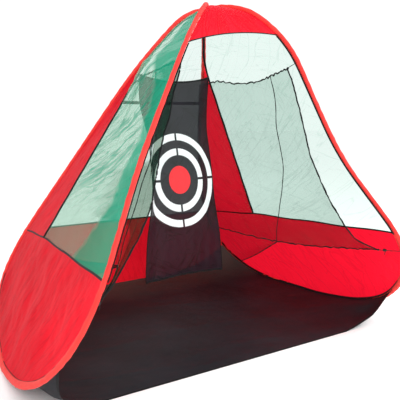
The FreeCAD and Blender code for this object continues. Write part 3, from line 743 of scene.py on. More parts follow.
# painted light and shade: one green mesh in three copies; the left one, lit on its outside, has brighter strands, more
# cover and a paler see-through tint; the right and rear ones, seen from the inside, have darker strands and little
# cover
M_MESH_LIT_L = netting("green_mesh_left_lit_copy", (.36, .65, .48), .36, (.88, .95, .90), vary=.03, trans=.35,
                   creases=[(-.42, .7, 8, .022, .34), (-.30, 1.0, 14, .020, .30), (-.60, .8, 6, .014, .30)],
                   band=(.05, .42, [(0, .44), (.2, .37), (.4, .24), (.6, .16), (.8, .25), (1, .45)]), top=.88,
                   fold_shade_colour=(.008, .35, .205))
M_MESH_SHADED_R = netting("green_mesh_right_shaded_copy", (.10, .46, .32), .06, (.77, .87, .83), vary=.05, trans=.5,
                   creases=[(-.6, 1.0, 12, .012, .10), (.4, 1.2, 14, .010, .08)], fade=(.25, .9, .05))
M_MESH_SHADED_REAR = netting("green_mesh_rear", (.14, .55, .42), .07, (.79, .87, .84), vary=.05, trans=.5,
                 creases=[(.25, 1.0, 12, .010, .10), (1.3, .8, 10, .010, .08)])
# painted light and shade: one catch net in two copies; the left one, lit, has brighter green strands and a paler
# see-through tint; the right one, shaded, darker strands and a darker tint. The right copy's band is a broad gradient:
# more cover and a darker see-through colour towards the lower front
M_NET_LIT_L = netting("green_net_left_lit_copy", (.01, .20, .12), .05, (.84, .90, .87), pitch=.004, trans=.35, creases=PULLS,
                  band=(.10, .05, [(0, .34), (.40, .40), (.48, .66), (.62, .68), (.74, .68), (.79, .40), (1, .36)]), gathered=(.36, .43, .37))
M_NET_SHADED_R = netting("green_net_right_shaded_copy", (.012, .09, .06), .05, (.69, .78, .74), pitch=.004, trans=.35, creases=PULLS,
                  band=(1.1, .03, [(0, -.3), (.45, -.1), (.92, 1.5), (1, 1.6)]), gathered=(.56, .64, .60))

# ------------------------------------------------------------- wing parts
made = {}


def replace_with(ob, *nodes):
    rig.replaces(ob, *nodes)


W0, W1 = at(.223, .383, 1.80), at(.865, .644, .656)
SKIRT_MID = at(1.01, .35, .42)


def rear_line():
    first = .108
    pts = []
    for k in range(9):
        s = (TOTAL - first) + (WEDGE + .04 - TOTAL + first) * k / 8
        pts.append(beside(s, .5 * (on(TOTAL - s)) + .5 * at(.12, -.10, .70) + A([.06, 0, .35])))
    return pts + [W0 + A([0, -.001, 0]), W1 + A([0, -.001, 0])]


REAR = rear_line()
NI, NJ = 90, 56


def wing_mesh(side):
    G = np.zeros((NI, NJ, 3))
    for i in range(NI):
        f = i / (NI - 1)
        back = poly(REAR, f)
        s = .05 + (LOW_F - .05) * f
        front = beside(s, back, .012)
        h = (front[2] + back[2]) / 2
        full = .078 * math.exp(-((h - 1.69) / .15) ** 2)
        j = np.linspace(0, 1, NJ)[:, None]
        G[i] = front + (back - front) * j + A([.86, 0, .5]) * (full * (1 - (2 * j - 1) ** 2) * (1.22 - .44 * j))
    uv = cloth_uv(G)
    e = ease_edges(NI, NJ, .10)
    n = normals(G)
    d = .007 * waves(uv[..., 0], uv[..., 1], 3 + side, .5, 10) \
        + .0035 * waves(uv[..., 0], uv[..., 1], 7 + side, .13, 12, heading=.9, fan=.9)
    return both(G + n * (d[..., None] * e), side)


def wedge(side):
    n, m = 70, 24
    G = np.zeros((n, m, 3))
    for i in range(n):
        f = i / (n - 1)
        a = W0 + (W1 - W0) * f
        s = WEDGE + (LOW_R - WEDGE) * f
        o = beside(s, a, .010)
        G[i] = a + (o - a) * np.linspace(0, 1, m)[:, None]
    uv = cloth_uv(G)
    d = .004 * waves(uv[..., 0], uv[..., 1], 21 + side, .3, 10) + .0015 * waves(uv[..., 0], uv[..., 1], 22, .07, 14)
    return both(G + normals(G) * (d[..., None] * ease_edges(n, m, .12)), side)


def skirt(side):
    sf, sr = LOW_F, LOW_R
    top = [beside(sf, SKIRT_MID, .012), W1 + A([0, 0, -.001]), beside(sr, SKIRT_MID, .012)]
    G = coons(lambda u: poly(top, u),
              lambda u: beside(BASE_F + (BASE_R - BASE_F) * u, SKIRT_MID, .010),
              lambda v: beside(sf + (BASE_F - sf) * v, SKIRT_MID, .010),
              lambda v: beside(sr + (BASE_R - sr) * v, SKIRT_MID, .010), 50, 110)
    uv = cloth_uv(G)
    d = .008 * waves(uv[..., 0], uv[..., 1], 31 + side, .42, 10) \
        + .0020 * waves(uv[..., 0], uv[..., 1], 32 + side, .12, 16, heading=0.6, fan=1.2) \
        + .0010 * waves(uv[..., 0], uv[..., 1], 33 + side, .035, 16)
    return both(G + normals(G) * (d[..., None] * ease_edges(50, 110, .10)), side)


for side, tag, body in ((1, "right", RIGHT), (-1, "left", LEFT)):
    flip = side < 0
    # one sewn sleeve per wing, flattened a little along the cloth
    n = 700
    s = np.linspace(0, TOTAL, n)
    P = on(s)
    mid = at(.62, .25, .95)
    N = mid - P
    T = tan(s)
    N = N - T * (N * T).sum(1, keepdims=True)
    N /= np.linalg.norm(N, axis=1, keepdims=True)
    wide = .0175 + .0022 * np.sin(s * 3.1 + side) + .0012 * np.sin(s * 11.7)
    flat = .0128 + .0010 * np.sin(s * 5.3 + 1.2)
    apex_in = np.clip(np.minimum(s, TOTAL - s) / .12, 0, 1)
    lift = (1 - apex_in) * (.007 if side < 0 else -.006) * np.where(s < TOTAL / 2, 1, -1)
    P = P + np.c_[0 * s, 0 * s, lift]
    low = np.maximum(wide, flat)
    P[:, 2] = np.maximum(P[:, 2], .0195 * np.clip((.3 - P[:, 2]) / .05, 0, 1))
    rng = np.random.default_rng(5)

    def rumple(a, b):
        x = np.linspace(0, TOTAL, a)[:, None] * np.ones((1, b))
        y = np.linspace(0, 2 * math.pi, b + 1)[None, :-1]
        out = 0 * x
        for q in range(18):
            k = rng.uniform(20, 120)
            out = out + np.sin(x * k + y * rng.integers(-2, 3) + rng.uniform(0, 6.28))
        return out / 18 ** .5 * .0009

    ob = tube(tag + "_sleeve", P if side > 0 else P * MIR, N if side > 0 else N * MIR,
              np.c_[wide, flat], M_SLEEVE, 20, True, rumple)
    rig.ride(ob, body)
    replace_with(ob, tag + "_front_sleeve", tag + "_base_sleeve", tag + "_rear_sleeve")
    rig.slot(ob, "red_sleeve")

    # the left wing takes the lit copy of the mesh, the right wing the shaded copy: painted light and shade
    ob = grid_mesh(tag + "_mesh_wall", wing_mesh(side), M_MESH_SHADED_R if side > 0 else M_MESH_LIT_L, flip=flip)
    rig.ride(ob, body)
    replace_with(ob, tag + "_wing_mesh")
    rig.slot(ob, "green_mesh")

    # the right wing's wedge and skirt take the lit copy of the red cloth: painted light
    ob = grid_mesh(tag + "_wedge", wedge(side), M_RED_LIT_R if side > 0 else M_RED, flip=flip)
    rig.ride(ob, body)
    replace_with(ob, tag + "_wing_wedge")
    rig.slot(ob, "red_fabric")

    ob = grid_mesh(tag + "_skirt", skirt(side), M_RED_LIT_R if side > 0 else M_RED, flip=flip)
    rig.ride(ob, body)
    replace_with(ob, tag + "_wing_skirt")
    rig.slot(ob, "red_fabric")

    # binding tapes: the rear one runs down the rear sleeve, then along the wedge
    inner = at(0, .06, 1.15)
    P, W, Nn = [], [], []
    for q in np.linspace(TOTAL - .10, WEDGE + .10, 70):
        e = beside(q, inner, .0185)
        nn = e - on(q)
        P.append(e)
        W.append(np.cross(tan(q), nn))
        Nn.append(nn)
    nin = A([-.9, 0, -.42])
    for x in np.linspace(.02, 1, 90):
        P.append(W0 + (W1 - W0) * x - nin * .0025 + A([.0012 * math.sin(x * 40), 0, 0]))
        W.append(np.cross(W1 - W0, nin))
        Nn.append(nin)
    P, W, Nn = A(P), A(W), A(Nn)
    W /= np.linalg.norm(W, axis=1, keepdims=True)
    Nn /= np.linalg.norm(Nn, axis=1, keepdims=True)
    for k in range(1, len(W)):
        if W[k] @ W[k - 1] < 0:
            W[k] = -W[k]
    for _ in range(6):
        P[64:80] = (P[63:79] + P[64:80] + P[65:81]) / 3
        W[60:84] = (W[59:83] + W[60:84] + W[61:85]) / 3
        Nn[60:84] = (Nn[59:83] + Nn[60:84] + Nn[61:85]) / 3
    # along the wedge the tape wraps the seam, so it stands proud outside too
    thick = np.interp(np.arange(160), [62, 82], [.004, .011])[:, None, None]
    ob = ribbon(tag + "_wedge_binding", P if side > 0 else P * MIR, W if side > 0 else W * MIR,
                Nn if side > 0 else Nn * MIR, M_TAPE, .016, thick)
    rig.ride(ob, body)
    replace_with(ob, tag + "_wedge_tape")
    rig.slot(ob, "black_tape")
    f = np.linspace(0, 1, 60)

    pts = [beside(LOW_F, at(.9, .1, .8), .014), W1, beside(LOW_R, W1, .014)]
    P = A([poly(pts, x) for x in f]) + np.c_[0 * f, 0 * f, .003 * np.sin(f * 23)]
    nin = A([-.94, 0, -.34])
    W = np.tile(A([.34, 0, -.94]), (60, 1))
    ob = ribbon(tag + "_skirt_binding", P if side > 0 else P * MIR, W if side > 0 else W * MIR,
                np.tile(nin if side > 0 else nin * MIR, (60, 1)), M_TAPE, .012, .004)
    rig.ride(ob, body)
    replace_with(ob, tag + "_skirt_tape")
    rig.slot(ob, "black_tape")

    f = np.linspace(0, 1, 120)
    first = station(1.93 if side > 0 else 1.845, .2, LOW_F) + .004
    ss = first + (LOW_F - first) * f
    P, W, Nn = [], [], []
    for x, q in zip(f, ss):
        o = on(q)
        e = beside(q, A([0, o[1] + .04, o[2]]), .0180)
        nn = e - o
        P.append(e)
        W.append(np.cross(tan(q), nn))
        Nn.append(nn)
    P, W, Nn = A(P), A(W), A(Nn)
    ob = ribbon(tag + "_front_binding", P if side > 0 else P * MIR, W if side > 0 else W * MIR,
                Nn if side > 0 else Nn * MIR, M_TAPE, .013, .0040)
    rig.ride(ob, body)
    replace_with(ob, tag + "_front_tape")
    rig.slot(ob, "black_tape")

# --------------------------------------------------------------- the net
NE = A([at(*p) for p in [(.366, -.330, 1.736), (.390, -.350, 1.665), (.414, -.352, 1.599), (.434, -.358, 1.531),
        (.453, -.367, 1.462), (.476, -.368, 1.395), (.498, -.366, 1.328), (.517, -.373, 1.261),
        (.536, -.383, 1.192), (.558, -.400, 1.126), (.582, -.420, 1.061), (.606, -.436, .996),
        (.636, -.449, .935), (.671, -.459, .878), (.709, -.468, .822), (.748, -.476, .767),
        (.789, -.486, .714), (.832, -.503, .665), (.888, -.542, .630), (.944, -.585, .599)]])
SEAM = A([at(*p) for p in [(.408, -.120, 1.706), (.446, -.152, 1.40), (.498, -.149, 1.103), (.556, -.058, .818),
                           (.605, .02, .575)]])
rear_from, rear_to = station(1.695, LOW_R, TOTAL - .3), station(.440, BASE_R, LOW_R)
BACK = []
for k in range(7):
    q = rear_from + (rear_to - rear_from) * k / 6
    o = on(q)
    BACK.append(o + (beside(q, o + A([-.32, -.20 - .03 * k, -.06])) - o) * max(1.1, 2.5 - .35 * k))
BACK = A(BACK)
HEM_F = A([at(*p) for p in [(.366, -.330, 1.736), (.396, -.304, 1.737), (.399, -.250, 1.729), (.402, -.196, 1.719),
                            (.408, -.120, 1.706)]])
HEM_R = A([at(*p) for p in [(.408, -.120, 1.706), (.418, -.060, 1.694), (.424, .013, 1.682), (.395, .13, 1.672),
                            (.340, .215, 1.676), (.286, .300, 1.690)]] + [BACK[0]])
LOW_N = A([at(*p) for p in [(.944, -.585, .599), (.86, -.43, .586), (.72, -.20, .574), (.605, .02, .575)]])
LOW_B = A([at(.605, .02, .575), at(.680, .34, .533), at(.752, .66, .498), BACK[-1]])
foot_from = station(.100, 3.9, BASE_R + .4)
BRINK = []
for k in range(6):
    q = rear_to + (foot_from - rear_to) * k / 5
    o = on(q)
    BRINK.append(o + (beside(q, o + A([-.30, -.33, .12])) - o) * 1.25)
BRINK[0] = BACK[-1]
BRINK = A(BRINK)
for side, tag, body in ((1, "right", RIGHT), (-1, "left", LEFT)):
    G1 = coons(lambda u: spline(HEM_F, u), lambda u: spline(LOW_N, u), lambda v: spline(NE, v),
               lambda v: spline(SEAM, v), 80, 40)
    G2 = coons(lambda u: spline(HEM_R, u), lambda u: spline(LOW_B, u), lambda v: spline(SEAM, v),
               lambda v: spline(BACK, v), 80, 44)
    G = np.concatenate([G1, G2[:, 1:]], axis=1)
    uv = cloth_uv(G)
    ni, nj = G.shape[:2]
    d = .008 * waves(uv[..., 0], uv[..., 1], 41 + side, .45, 10) \
        + .0045 * waves(uv[..., 0], uv[..., 1], 42 + side, .11, 14, heading=0.0, fan=.7)
    e = ease_edges(ni, nj, .08)
    G = G + normals(G) * (d[..., None] * e)
    # the elastic hems pucker: edges wander a little up and down
    edge_i = np.exp(-np.arange(ni) / 5.0)[:, None]
    uu, vv = uv[0, :, 0], uv[:, 0, 1]
    pk = .0050 * waves(uu, 0 * uu, 91 + side, .10, 9, heading=0, fan=.1) \
        + .0030 * waves(uu, 0 * uu, 93 + side, .035, 9, heading=0, fan=.1)
    fade_ = np.clip(np.minimum(np.linspace(0, 1, nj), 1 - np.linspace(0, 1, nj)) / .05, 0, 1)
    G[..., 2] += edge_i * (pk * fade_)[None]
    G[..., 2] += edge_i[::-1] * (pk[::-1] * .8 * fade_)[None]
    edge_j = np.exp(-np.arange(nj) / 5.0)[None, :]
    pv = .0045 * waves(vv, 0 * vv, 95 + side, .13, 9, heading=0, fan=.1) \
        + .0018 * waves(vv, 0 * vv, 97 + side, .04, 9, heading=0, fan=.1)
    fade_ = np.clip(np.minimum(np.linspace(0, 1, ni), 1 - np.linspace(0, 1, ni)) / .05, 0, 1)
    G[..., 1] += edge_j * (pv * fade_)[:, None]
    G[..., 1] += edge_j[:, ::-1] * (pv[::-1] * .8 * fade_)[:, None]
    G = both(G, side)
    # the right wing takes the shaded copy of the net, the left wing the lit copy: painted light and shade
    ob = grid_mesh(tag + "_side_net", G, M_NET_SHADED_R if side > 0 else M_NET_LIT_L, uv=uv, flip=side < 0)
    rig.ride(ob, body)
    replace_with(ob, tag + "_catch_net_front", tag + "_catch_net_rear")
    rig.slot(ob, "green_mesh")
    made[tag + "_net"] = ob
    AXIS = A([.86, 0, .51 * side])
    HOLD = (.0074 * side, -FWD, 2.06)
    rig.squash(ob, "wing_fold", AXIS, HOLD, .05)

    def bead(name, P, r=.0041, mat=M_TAPE):
        P = A(P)
        d_ = np.gradient(P, axis=0)
        n_ = np.cross(d_, A([0.31, .22, .9]))
        r = r * (1 + .22 * waves(np.arange(len(P)) * .02, 0 * P[:, 0], len(name), .12, 8, heading=0, fan=.1))
        o = tube(name, P, n_, np.c_[r, r], mat, 8)
        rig.ride(o, body)
        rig.slot(o, "black_tape")
        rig.squash(o, "wing_fold", AXIS, HOLD, .05)
        return o

    near, near_low = LOW_B[0], LOW_B[0] + A([0, 0, -.006])
    GG = coons(lambda u: spline(LOW_B, u),
               lambda u: spline(A([near_low, (near_low + BRINK[-1]) * .5 + A([0, 0, -.012]), BRINK[-1]]), u),
               lambda v: near + (near_low - near) * v, lambda v: spline(BRINK, v), 34, 50)
    uvg = cloth_uv(GG)
    dg = .006 * waves(uvg[..., 0], uvg[..., 1], 101 + side, .3, 10) * ease_edges(34, 50, .12)[..., 0]
    GG = both(GG + normals(GG) * dg[..., None], side)
    # the gusset takes the same shaded or lit copy of the net: painted light and shade
    og = grid_mesh(tag + "_net_gusset", GG, M_NET_SHADED_R if side > 0 else M_NET_LIT_L, uv=uvg, flip=side < 0)
    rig.ride(og, body)
    replace_with(og, tag + "_catch_net_gusset")
    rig.slot(og, "green_mesh")
    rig.squash(og, "wing_fold", AXIS, HOLD, .05)
    bead(tag + "_gusset_hem", GG[-1], .0038)
    bead(tag + "_net_front_hem", G[:, 0], .0046)
    bead(tag + "_net_top_hem", G[0], .0045)
    bead(tag + "_net_low_hem", G[-1])
    bead(tag + "_net_rear_hem", G[:, -1], .0033)
    bead(tag + "_net_seam", G[:, 39], .0028)

# ------------------------------------------------ panels across both wings
def across(name, rows, mat, slotname, nodes, half, cols=60, bulge=None, seed=0, amp=.004, uvflip=False):
    n = len(rows)
    u = np.linspace(-1, 1, cols)
    G = np.zeros((n, cols, 3))
    for i, (e, m) in enumerate(rows):
        a = (1 - u ** 2)
        G[i, :, 0] = e[0] * u
        G[i, :, 1] = e[1] + (m[1] - e[1]) * a
        G[i, :, 2] = e[2] + (m[2] - e[2]) * a
    uv = cloth_uv(G)
    d = amp * waves(uv[..., 0], uv[..., 1], 51 + seed, .45, 10) \
        + amp * .45 * waves(uv[..., 0], uv[..., 1], 52 + seed, .12, 12)
    G = G + normals(G) * (d[..., None] * ease_edges(n, cols, .08))
    ob = grid_mesh(name, G, mat, uv=uv)
    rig.blend(ob, LEFT, RIGHT, (-half, -FWD, 1.0), (half, -FWD, 1.0))
    if nodes:
        replace_with(ob, *nodes)
    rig.slot(ob, slotname)
    return ob, G


# header: follows both sleeves; its hem rises a little from left to right
hl_r, hl_l = station(1.93, .2, LOW_F), station(1.845, .2, LOW_F)
nr, nc = 30, 56
HG = np.zeros((nr, nc, 3))
u = np.linspace(0, 1, nc)
for i in range(nr):
    f = i / (nr - 1)
    ql, qr = .03 + (hl_l - .03) * f, .03 + (hl_r - .03) * f
    el = beside(ql, on(ql) * MIR + A([0, 0, -.03 * f - 1e-4]), .013) * MIR
    er = beside(qr, on(qr) * MIR + A([0, 0, -.03 * f - 1e-4]), .013)
    row = el + (er - el) * u[:, None]
    a2 = 4 * u * (1 - u)
    row[:, 2] += .030 * f ** 1.5 * a2
    row[:, 1] += (.030 * f - .006) * a2
    HG[i] = row
uv = cloth_uv(HG)
d = .0035 * waves(uv[..., 0], uv[..., 1], 52, .30, 10) + .0016 * waves(uv[..., 0], uv[..., 1], 53, .08, 14)
HG = HG + normals(HG) * (d[..., None] * ease_edges(nr, nc, .08))
ob = grid_mesh("header", HG, M_RED, uv=uv)
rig.blend(ob, LEFT, RIGHT, (-.22, -FWD, 1.0), (.22, -FWD, 1.0))
replace_with(ob, "header_panel")
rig.slot(ob, "header_fabric")
made["header"] = ob


def bead_across(name, P, half, r=.0032, mat=M_TAPE, slotname="black_tape"):
    P = A(P)
    n_ = np.cross(np.gradient(P, axis=0), A([0.05, .62, .35]))
    o = tube(name, P, n_, r, mat, 8)
    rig.blend(o, LEFT, RIGHT, (-half, -FWD, 1.0), (half, -FWD, 1.0))
    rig.slot(o, slotname)
    return o


bead_across("header_hem", HG[-1], .22)

# rear mesh wall, in three widths sewn together behind the strap
cuts = [TOTAL - .03, station(1.553, LOW_R, TOTAL - .3), station(1.06, LOW_R, TOTAL - .3), LOW_R]
halves = [.26, .46, .70]
for k in range(3):
    rows = []
    for i in range(26):
        q = cuts[k] + (cuts[k + 1] - cuts[k]) * i / 25
        o = on(q)
        e = beside(q, o * A([-1, 1, 1]), .012)
        rows.append((e, e * A([0, 1, 1])))
    # the rear wall takes the shaded copy of the mesh: painted shade
    ob, RG = across("rear_mesh_%d" % (k + 1), rows, M_MESH_SHADED_REAR, "green_mesh", ["rear_mesh"], halves[k],
                    60, seed=4 + k, amp=.006)

# rear skirt
sl = station(.246, BASE_R - .2, LOW_R)
foot = at(0, 1.330, .024)


def rear_side(v):
    q = LOW_R + (sl - LOW_R) * v
    return beside(q, on(q) * A([-1, 1, 1]), .012)


def rear_low(u):
    e = rear_side(1.0)
    k = -1 + 2 * u
    a = 1 - k ** 4
    return A([e[0] * k, e[1] + (foot[1] - e[1]) * a, e[2] + (foot[2] - e[2]) * a])


et = rear_side(0.0)
G = coons(lambda u: A([et[0] * (2 * u - 1), et[1] + (at(0, 1.3, 0)[1] - et[1]) * (1 - (2 * u - 1) ** 2) * .5, et[2]]),
          rear_low, lambda v: rear_side(v) * MIR, rear_side, 40, 90)
uv = cloth_uv(G)
d = .009 * waves(uv[..., 0], uv[..., 1], 61, .5, 10) + .0025 * waves(uv[..., 0], uv[..., 1], 62, .11, 14)
G = G + normals(G) * (d[..., None] * ease_edges(40, 90, .08))
ob = grid_mesh("rear_skirt_cloth", G, M_RED, uv=uv)
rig.blend(ob, LEFT, RIGHT, (-.95, -FWD, .3), (.95, -FWD, .3))
replace_with(ob, "rear_skirt")
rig.slot(ob, "red_fabric")
P = G[0] + A([0, -.004, 0])
o = ribbon("rear_skirt_binding", P, np.tile(A([0, 0, 1.0]), (len(P), 1)), np.tile(A([0, -1.0, 0]), (len(P), 1)),
           M_TAPE, .012, .004)
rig.blend(o, LEFT, RIGHT, (-.9, -FWD, .3), (.9, -FWD, .3))
replace_with(o, "rear_skirt_tape")
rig.slot(o, "black_tape")
REAR_FOOT = G[-1]

# strap between the rear sleeves
q = station(1.553, LOW_R, TOTAL - .3)
o_ = on(q)
t_ = tan(q)
up = A([0, t_[1], t_[2]])
up /= np.linalg.norm(up)
away = A([0, -up[2], up[1]])
away = away if away[1] < 0 else -away
xs = np.linspace(-o_[0] + .010, o_[0] - .010, 60)
P = np.c_[xs, np.full(60, o_[1]), np.full(60, o_[2])] + away * .006
P[:, 2] -= .004 * (1 - (xs / xs[-1]) ** 2)
o = ribbon("rear_web_strap", P, np.tile(up, (60, 1)), np.tile(away, (60, 1)), M_TAPE, .028, .0022)
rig.blend(o, LEFT, RIGHT, (-.36, -FWD, 1.5), (.36, -FWD, 1.5))
replace_with(o, "rear_strap")
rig.slot(o, "webbing")

# ground sheet: its front corners rise in two gussets to the hoops
ON = 2.45
side_s = np.linspace(ON, sl - .004, 160)
SIDE = A([beside(q, A([on(q)[0] - .3, on(q)[1], on(q)[2] + .15 - .19 * max(0, (q - ON) / (sl - ON) - .55) / .45]),
                 .013) for q in side_s])
TURN = .745
n, m = 110, 171
u = np.linspace(-1, 1, m)
gusset = A([at(.873, -.411, .0022), at(1.000, -.424, .034), at(1.112, -.448, .096), SIDE[0]])


def front_edge(x):
    ax_ = abs(x)
    if ax_ <= TURN:
        p_ = A([.873 * ax_ / TURN, -.411 - FWD, .0016])
    else:
        p_ = spline(gusset, (ax_ - TURN) / (1 - TURN))
    return p_ * A([1 if x >= 0 else -1, 1, 1])


FRONT = A([front_edge(x) for x in u])
BACKROW = A([rear_low((x + 1) / 2) for x in u])
G = np.zeros((n, m, 3))
for i in range(n):
    f = i / (n - 1)
    e = poly(SIDE, f)
    rise = min(1, max(0, (e[1] + FWD - .70) / .522))
    mz = .0016 + (foot[2] - .0016) * rise ** 3
    my = e[1] + (foot[1] - .001 - e[1]) * (rise ** 2)
    a6, a2 = 1 - np.abs(u) ** 6, 1 - u ** 2
    G[i, :, 0] = e[0] * u
    G[i, :, 1] = e[1] + (my - e[1]) * a2
    G[i, :, 2] = np.maximum(.0014, e[2] + (mz - e[2]) * a6)
first_row, last_row = G[0].copy(), G[-1].copy()
for i in range(n):
    f = i / (n - 1)
    w = max(0.0, (f - .8) / .2)
    w = w * w * (3 - 2 * w)
    q = max(0.0, 1 - f / .3)
    q = q * q * (3 - 2 * q)
    G[i] += (BACKROW - last_row) * w + (FRONT - first_row) * q
    ease = .008 * np.clip((np.abs(u) - .6) / .12, 0, 1) * min(1, i / 7) * min(1, q * 3)
    a_ = G[i, :, 2] - .0014
    G[i, :, 2] = .0014 + (a_ + np.sqrt(a_ * a_ + ease * ease)) / 2
uv = cloth_uv(G)
d = .5 + .5 * waves(uv[..., 0], uv[..., 1], 71, .55, 10)
d2 = .5 + .5 * waves(uv[..., 0], uv[..., 1], 72, .16, 14)
d3 = waves(uv[..., 0], uv[..., 1], 73, .9, 8, heading=1.3, fan=.5)
ridge = np.exp(-(d3 / .16) ** 2)
G[..., 2] += (np.clip(d, 0, 1.5) * .006 + np.clip(d2, 0, 1.5) * .0022 + ridge * .004) * ease_edges(n, m, .05)[..., 0]
FLOOR_SIDE = A([G[:, 0], G[:, -1]])
ob = grid_mesh("ground_sheet", G, M_FLOOR, uv=uv)
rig.blend(ob, LEFT, RIGHT, (-1.2, -FWD, .1), (1.2, -FWD, .1))
replace_with(ob, "floor_sheet")
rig.slot(ob, "black_fabric")
made["ground_sheet"] = ob
for side, tag in ((1, "right"), (-1, "left")):
    P, W, Nn = [], [], []
    for q in np.linspace(2.36, sl + .02, 240):
        o = on(q)
        e = beside(q, o * .5 + SKIRT_MID * .5 + A([-.15, 0, .04]), .0178)
        nn = e - o
        P.append(e)
        W.append(np.cross(tan(q), nn))
        Nn.append(nn)
    P, W, Nn = A(P), A(W), A(Nn)
    if side < 0:
        P, W, Nn = P * MIR, W * MIR, Nn * MIR
    o = ribbon(tag + "_floor_binding", P, W, Nn, M_TAPE, .019, .004)
    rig.ride(o, RIGHT if side > 0 else LEFT)
    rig.slot(o, "black_tape")
keep_ = np.abs(u) <= TURN + .25
P = G[0][keep_].copy()
flat_ = np.abs(P[:, 0]) < .873
P[:, 1] -= np.where(flat_, .0085, .0085 * np.clip(1 - (np.abs(P[:, 0]) - .873) / .12, 0, 1))
P[:, 2] = np.where(flat_, .0028, P[:, 2] + .0014)
Wd = np.gradient(P, axis=0)
Wd = np.cross(Wd, A([0, -.25, 1.0]))
o = ribbon("ground_front_binding", P, Wd, np.tile(A([0, -.25, 1.0]), (len(P), 1)), M_TAPE, .014, .0034)
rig.blend(o, LEFT, RIGHT, (-1.2, -FWD, .1), (1.2, -FWD, .1))
replace_with(o, "floor_front_hem")
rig.slot(o, "black_tape")

# crossing cover
n = 24
for name, sx, lift in (("crossing_cover_under", 1, -.004), ("crossing_cover_over", -1, .006)):
    s = np.linspace(-.055, .055, n)
    P = np.where(s[:, None] < 0, on(TOTAL + s) * MIR, on(s))
    P = P if sx > 0 else P * MIR
    P = P + A([0, 0, lift])
    N_ = np.tile(A([0, 0, 1.0]), (n, 1))
    o = tube(name, P, N_, np.c_[np.full(n, .0135), np.full(n, .019)], M_SLEEVE, 20)
    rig.ride(o, LEFT)
    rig.slot(o, "red_sleeve")
    if sx < 0:
        replace_with(o, "crossing_cover")

# ---------------------------------------------------------------- target
m, nt, out = new_mat("target_cloth")
uvn = uv_metres(nt)
sep = nt.nodes.new("ShaderNodeSeparateXYZ")
link(nt, uvn, sep.inputs[0])
x, y = sep.outputs[0], sep.outputs[1]
r2 = math_(nt, "SQRT", math_(nt, "ADD", math_(nt, "MULTIPLY", x, x), math_(nt, "MULTIPLY", y, y)))


def band(lo, hi):
    a = math_(nt, "GREATER_THAN", r2, lo)
    b = math_(nt, "LESS_THAN", r2, hi)
    return math_(nt, "MULTIPLY", a, b)


ax = math_(nt, "GREATER_THAN", math_(nt, "ABSOLUTE", x), .0085)
ay = math_(nt, "GREATER_THAN", math_(nt, "ABSOLUTE", y), .0085)
gap = math_(nt, "MULTIPLY", ax, ay)
white = math_(nt, "MULTIPLY", math_(nt, "MAXIMUM", band(.175, .223), band(.281, .33)), gap)
red = math_(nt, "LESS_THAN", r2, .0985)
bs = nt.nodes.new("ShaderNodeBsdfPrincipled")
bn = noise(nt, uvn, 3, 4, .6)
base = ramp(nt, bn, [(.3, (.007, .0065, .010)), (.7, (.017, .014, .021))])
low_ = nt.nodes.new("ShaderNodeMix")
low_.data_type = "RGBA"
link(nt, math_(nt, "MULTIPLY", math_(nt, "SUBTRACT", math_(nt, "MULTIPLY", y, -1), -.05), 2.0, True), low_.inputs[0])
link(nt, base, low_.inputs[6])
low_.inputs[7].default_value = (.020, .0075, .014, 1)
# painted shade: along the crease lines the target's colour is darkened towards near black; the same lines dent the bump
target_crease_dent_and_shade = math_(nt, "MAXIMUM", crease_lines(nt, uvn, -.9, 1.4, 12, .016), crease_lines(nt, uvn, .35, 1.6, 14, .014))
target_fold_painted_shade = nt.nodes.new("ShaderNodeMix")
target_fold_painted_shade.data_type = "RGBA"
link(nt, math_(nt, "MULTIPLY", target_crease_dent_and_shade, .9), target_fold_painted_shade.inputs[0])
link(nt, low_.outputs[2], target_fold_painted_shade.inputs[6])
target_fold_painted_shade.inputs[7].default_value = (.004, .004, .005, 1)
base = target_fold_painted_shade.outputs[2]
c1 = nt.nodes.new("ShaderNodeMix")
c1.data_type = "RGBA"
link(nt, white, c1.inputs[0])
link(nt, base, c1.inputs[6])
c1.inputs[7].default_value = (.86, .87, .90, 1)
c2 = nt.nodes.new("ShaderNodeMix")
c2.data_type = "RGBA"
link(nt, red, c2.inputs[0])
link(nt, c1.outputs[2], c2.inputs[6])
c2.inputs[7].default_value = (.90, .045, .055, 1)
link(nt, c2.outputs[2], bs.inputs["Base Color"])
bs.inputs["Roughness"].default_value = .5
bs.inputs["Specular IOR Level"].default_value = .14
b1 = bump(nt, weave(nt, uvn, .0012), .3, .0004)
b2 = nt.nodes.new("ShaderNodeBump")
b2.inputs["Strength"].default_value = .5
b2.inputs["Distance"].default_value = .005
link(nt, math_(nt, "SUBTRACT", noise(nt, uvn, 12, 5, .6), math_(nt, "MULTIPLY", target_crease_dent_and_shade, .8)), b2.inputs["Height"])
link(nt, b1, b2.inputs["Normal"])
link(nt, b2.outputs[0], bs.inputs["Normal"])
tp = nt.nodes.new("ShaderNodeBsdfTransparent")
mx = nt.nodes.new("ShaderNodeMixShader")
printed = math_(nt, "MAXIMUM", white, red)
link(nt, math_(nt, "ADD", math_(nt, "MULTIPLY", printed, .04), .96, True), mx.inputs[0])
link(nt, tp.outputs[0], mx.inputs[1])
link(nt, bs.outputs[0], mx.inputs[2])
link(nt, mx.outputs[0], out.inputs[0])
M_TARGET = m

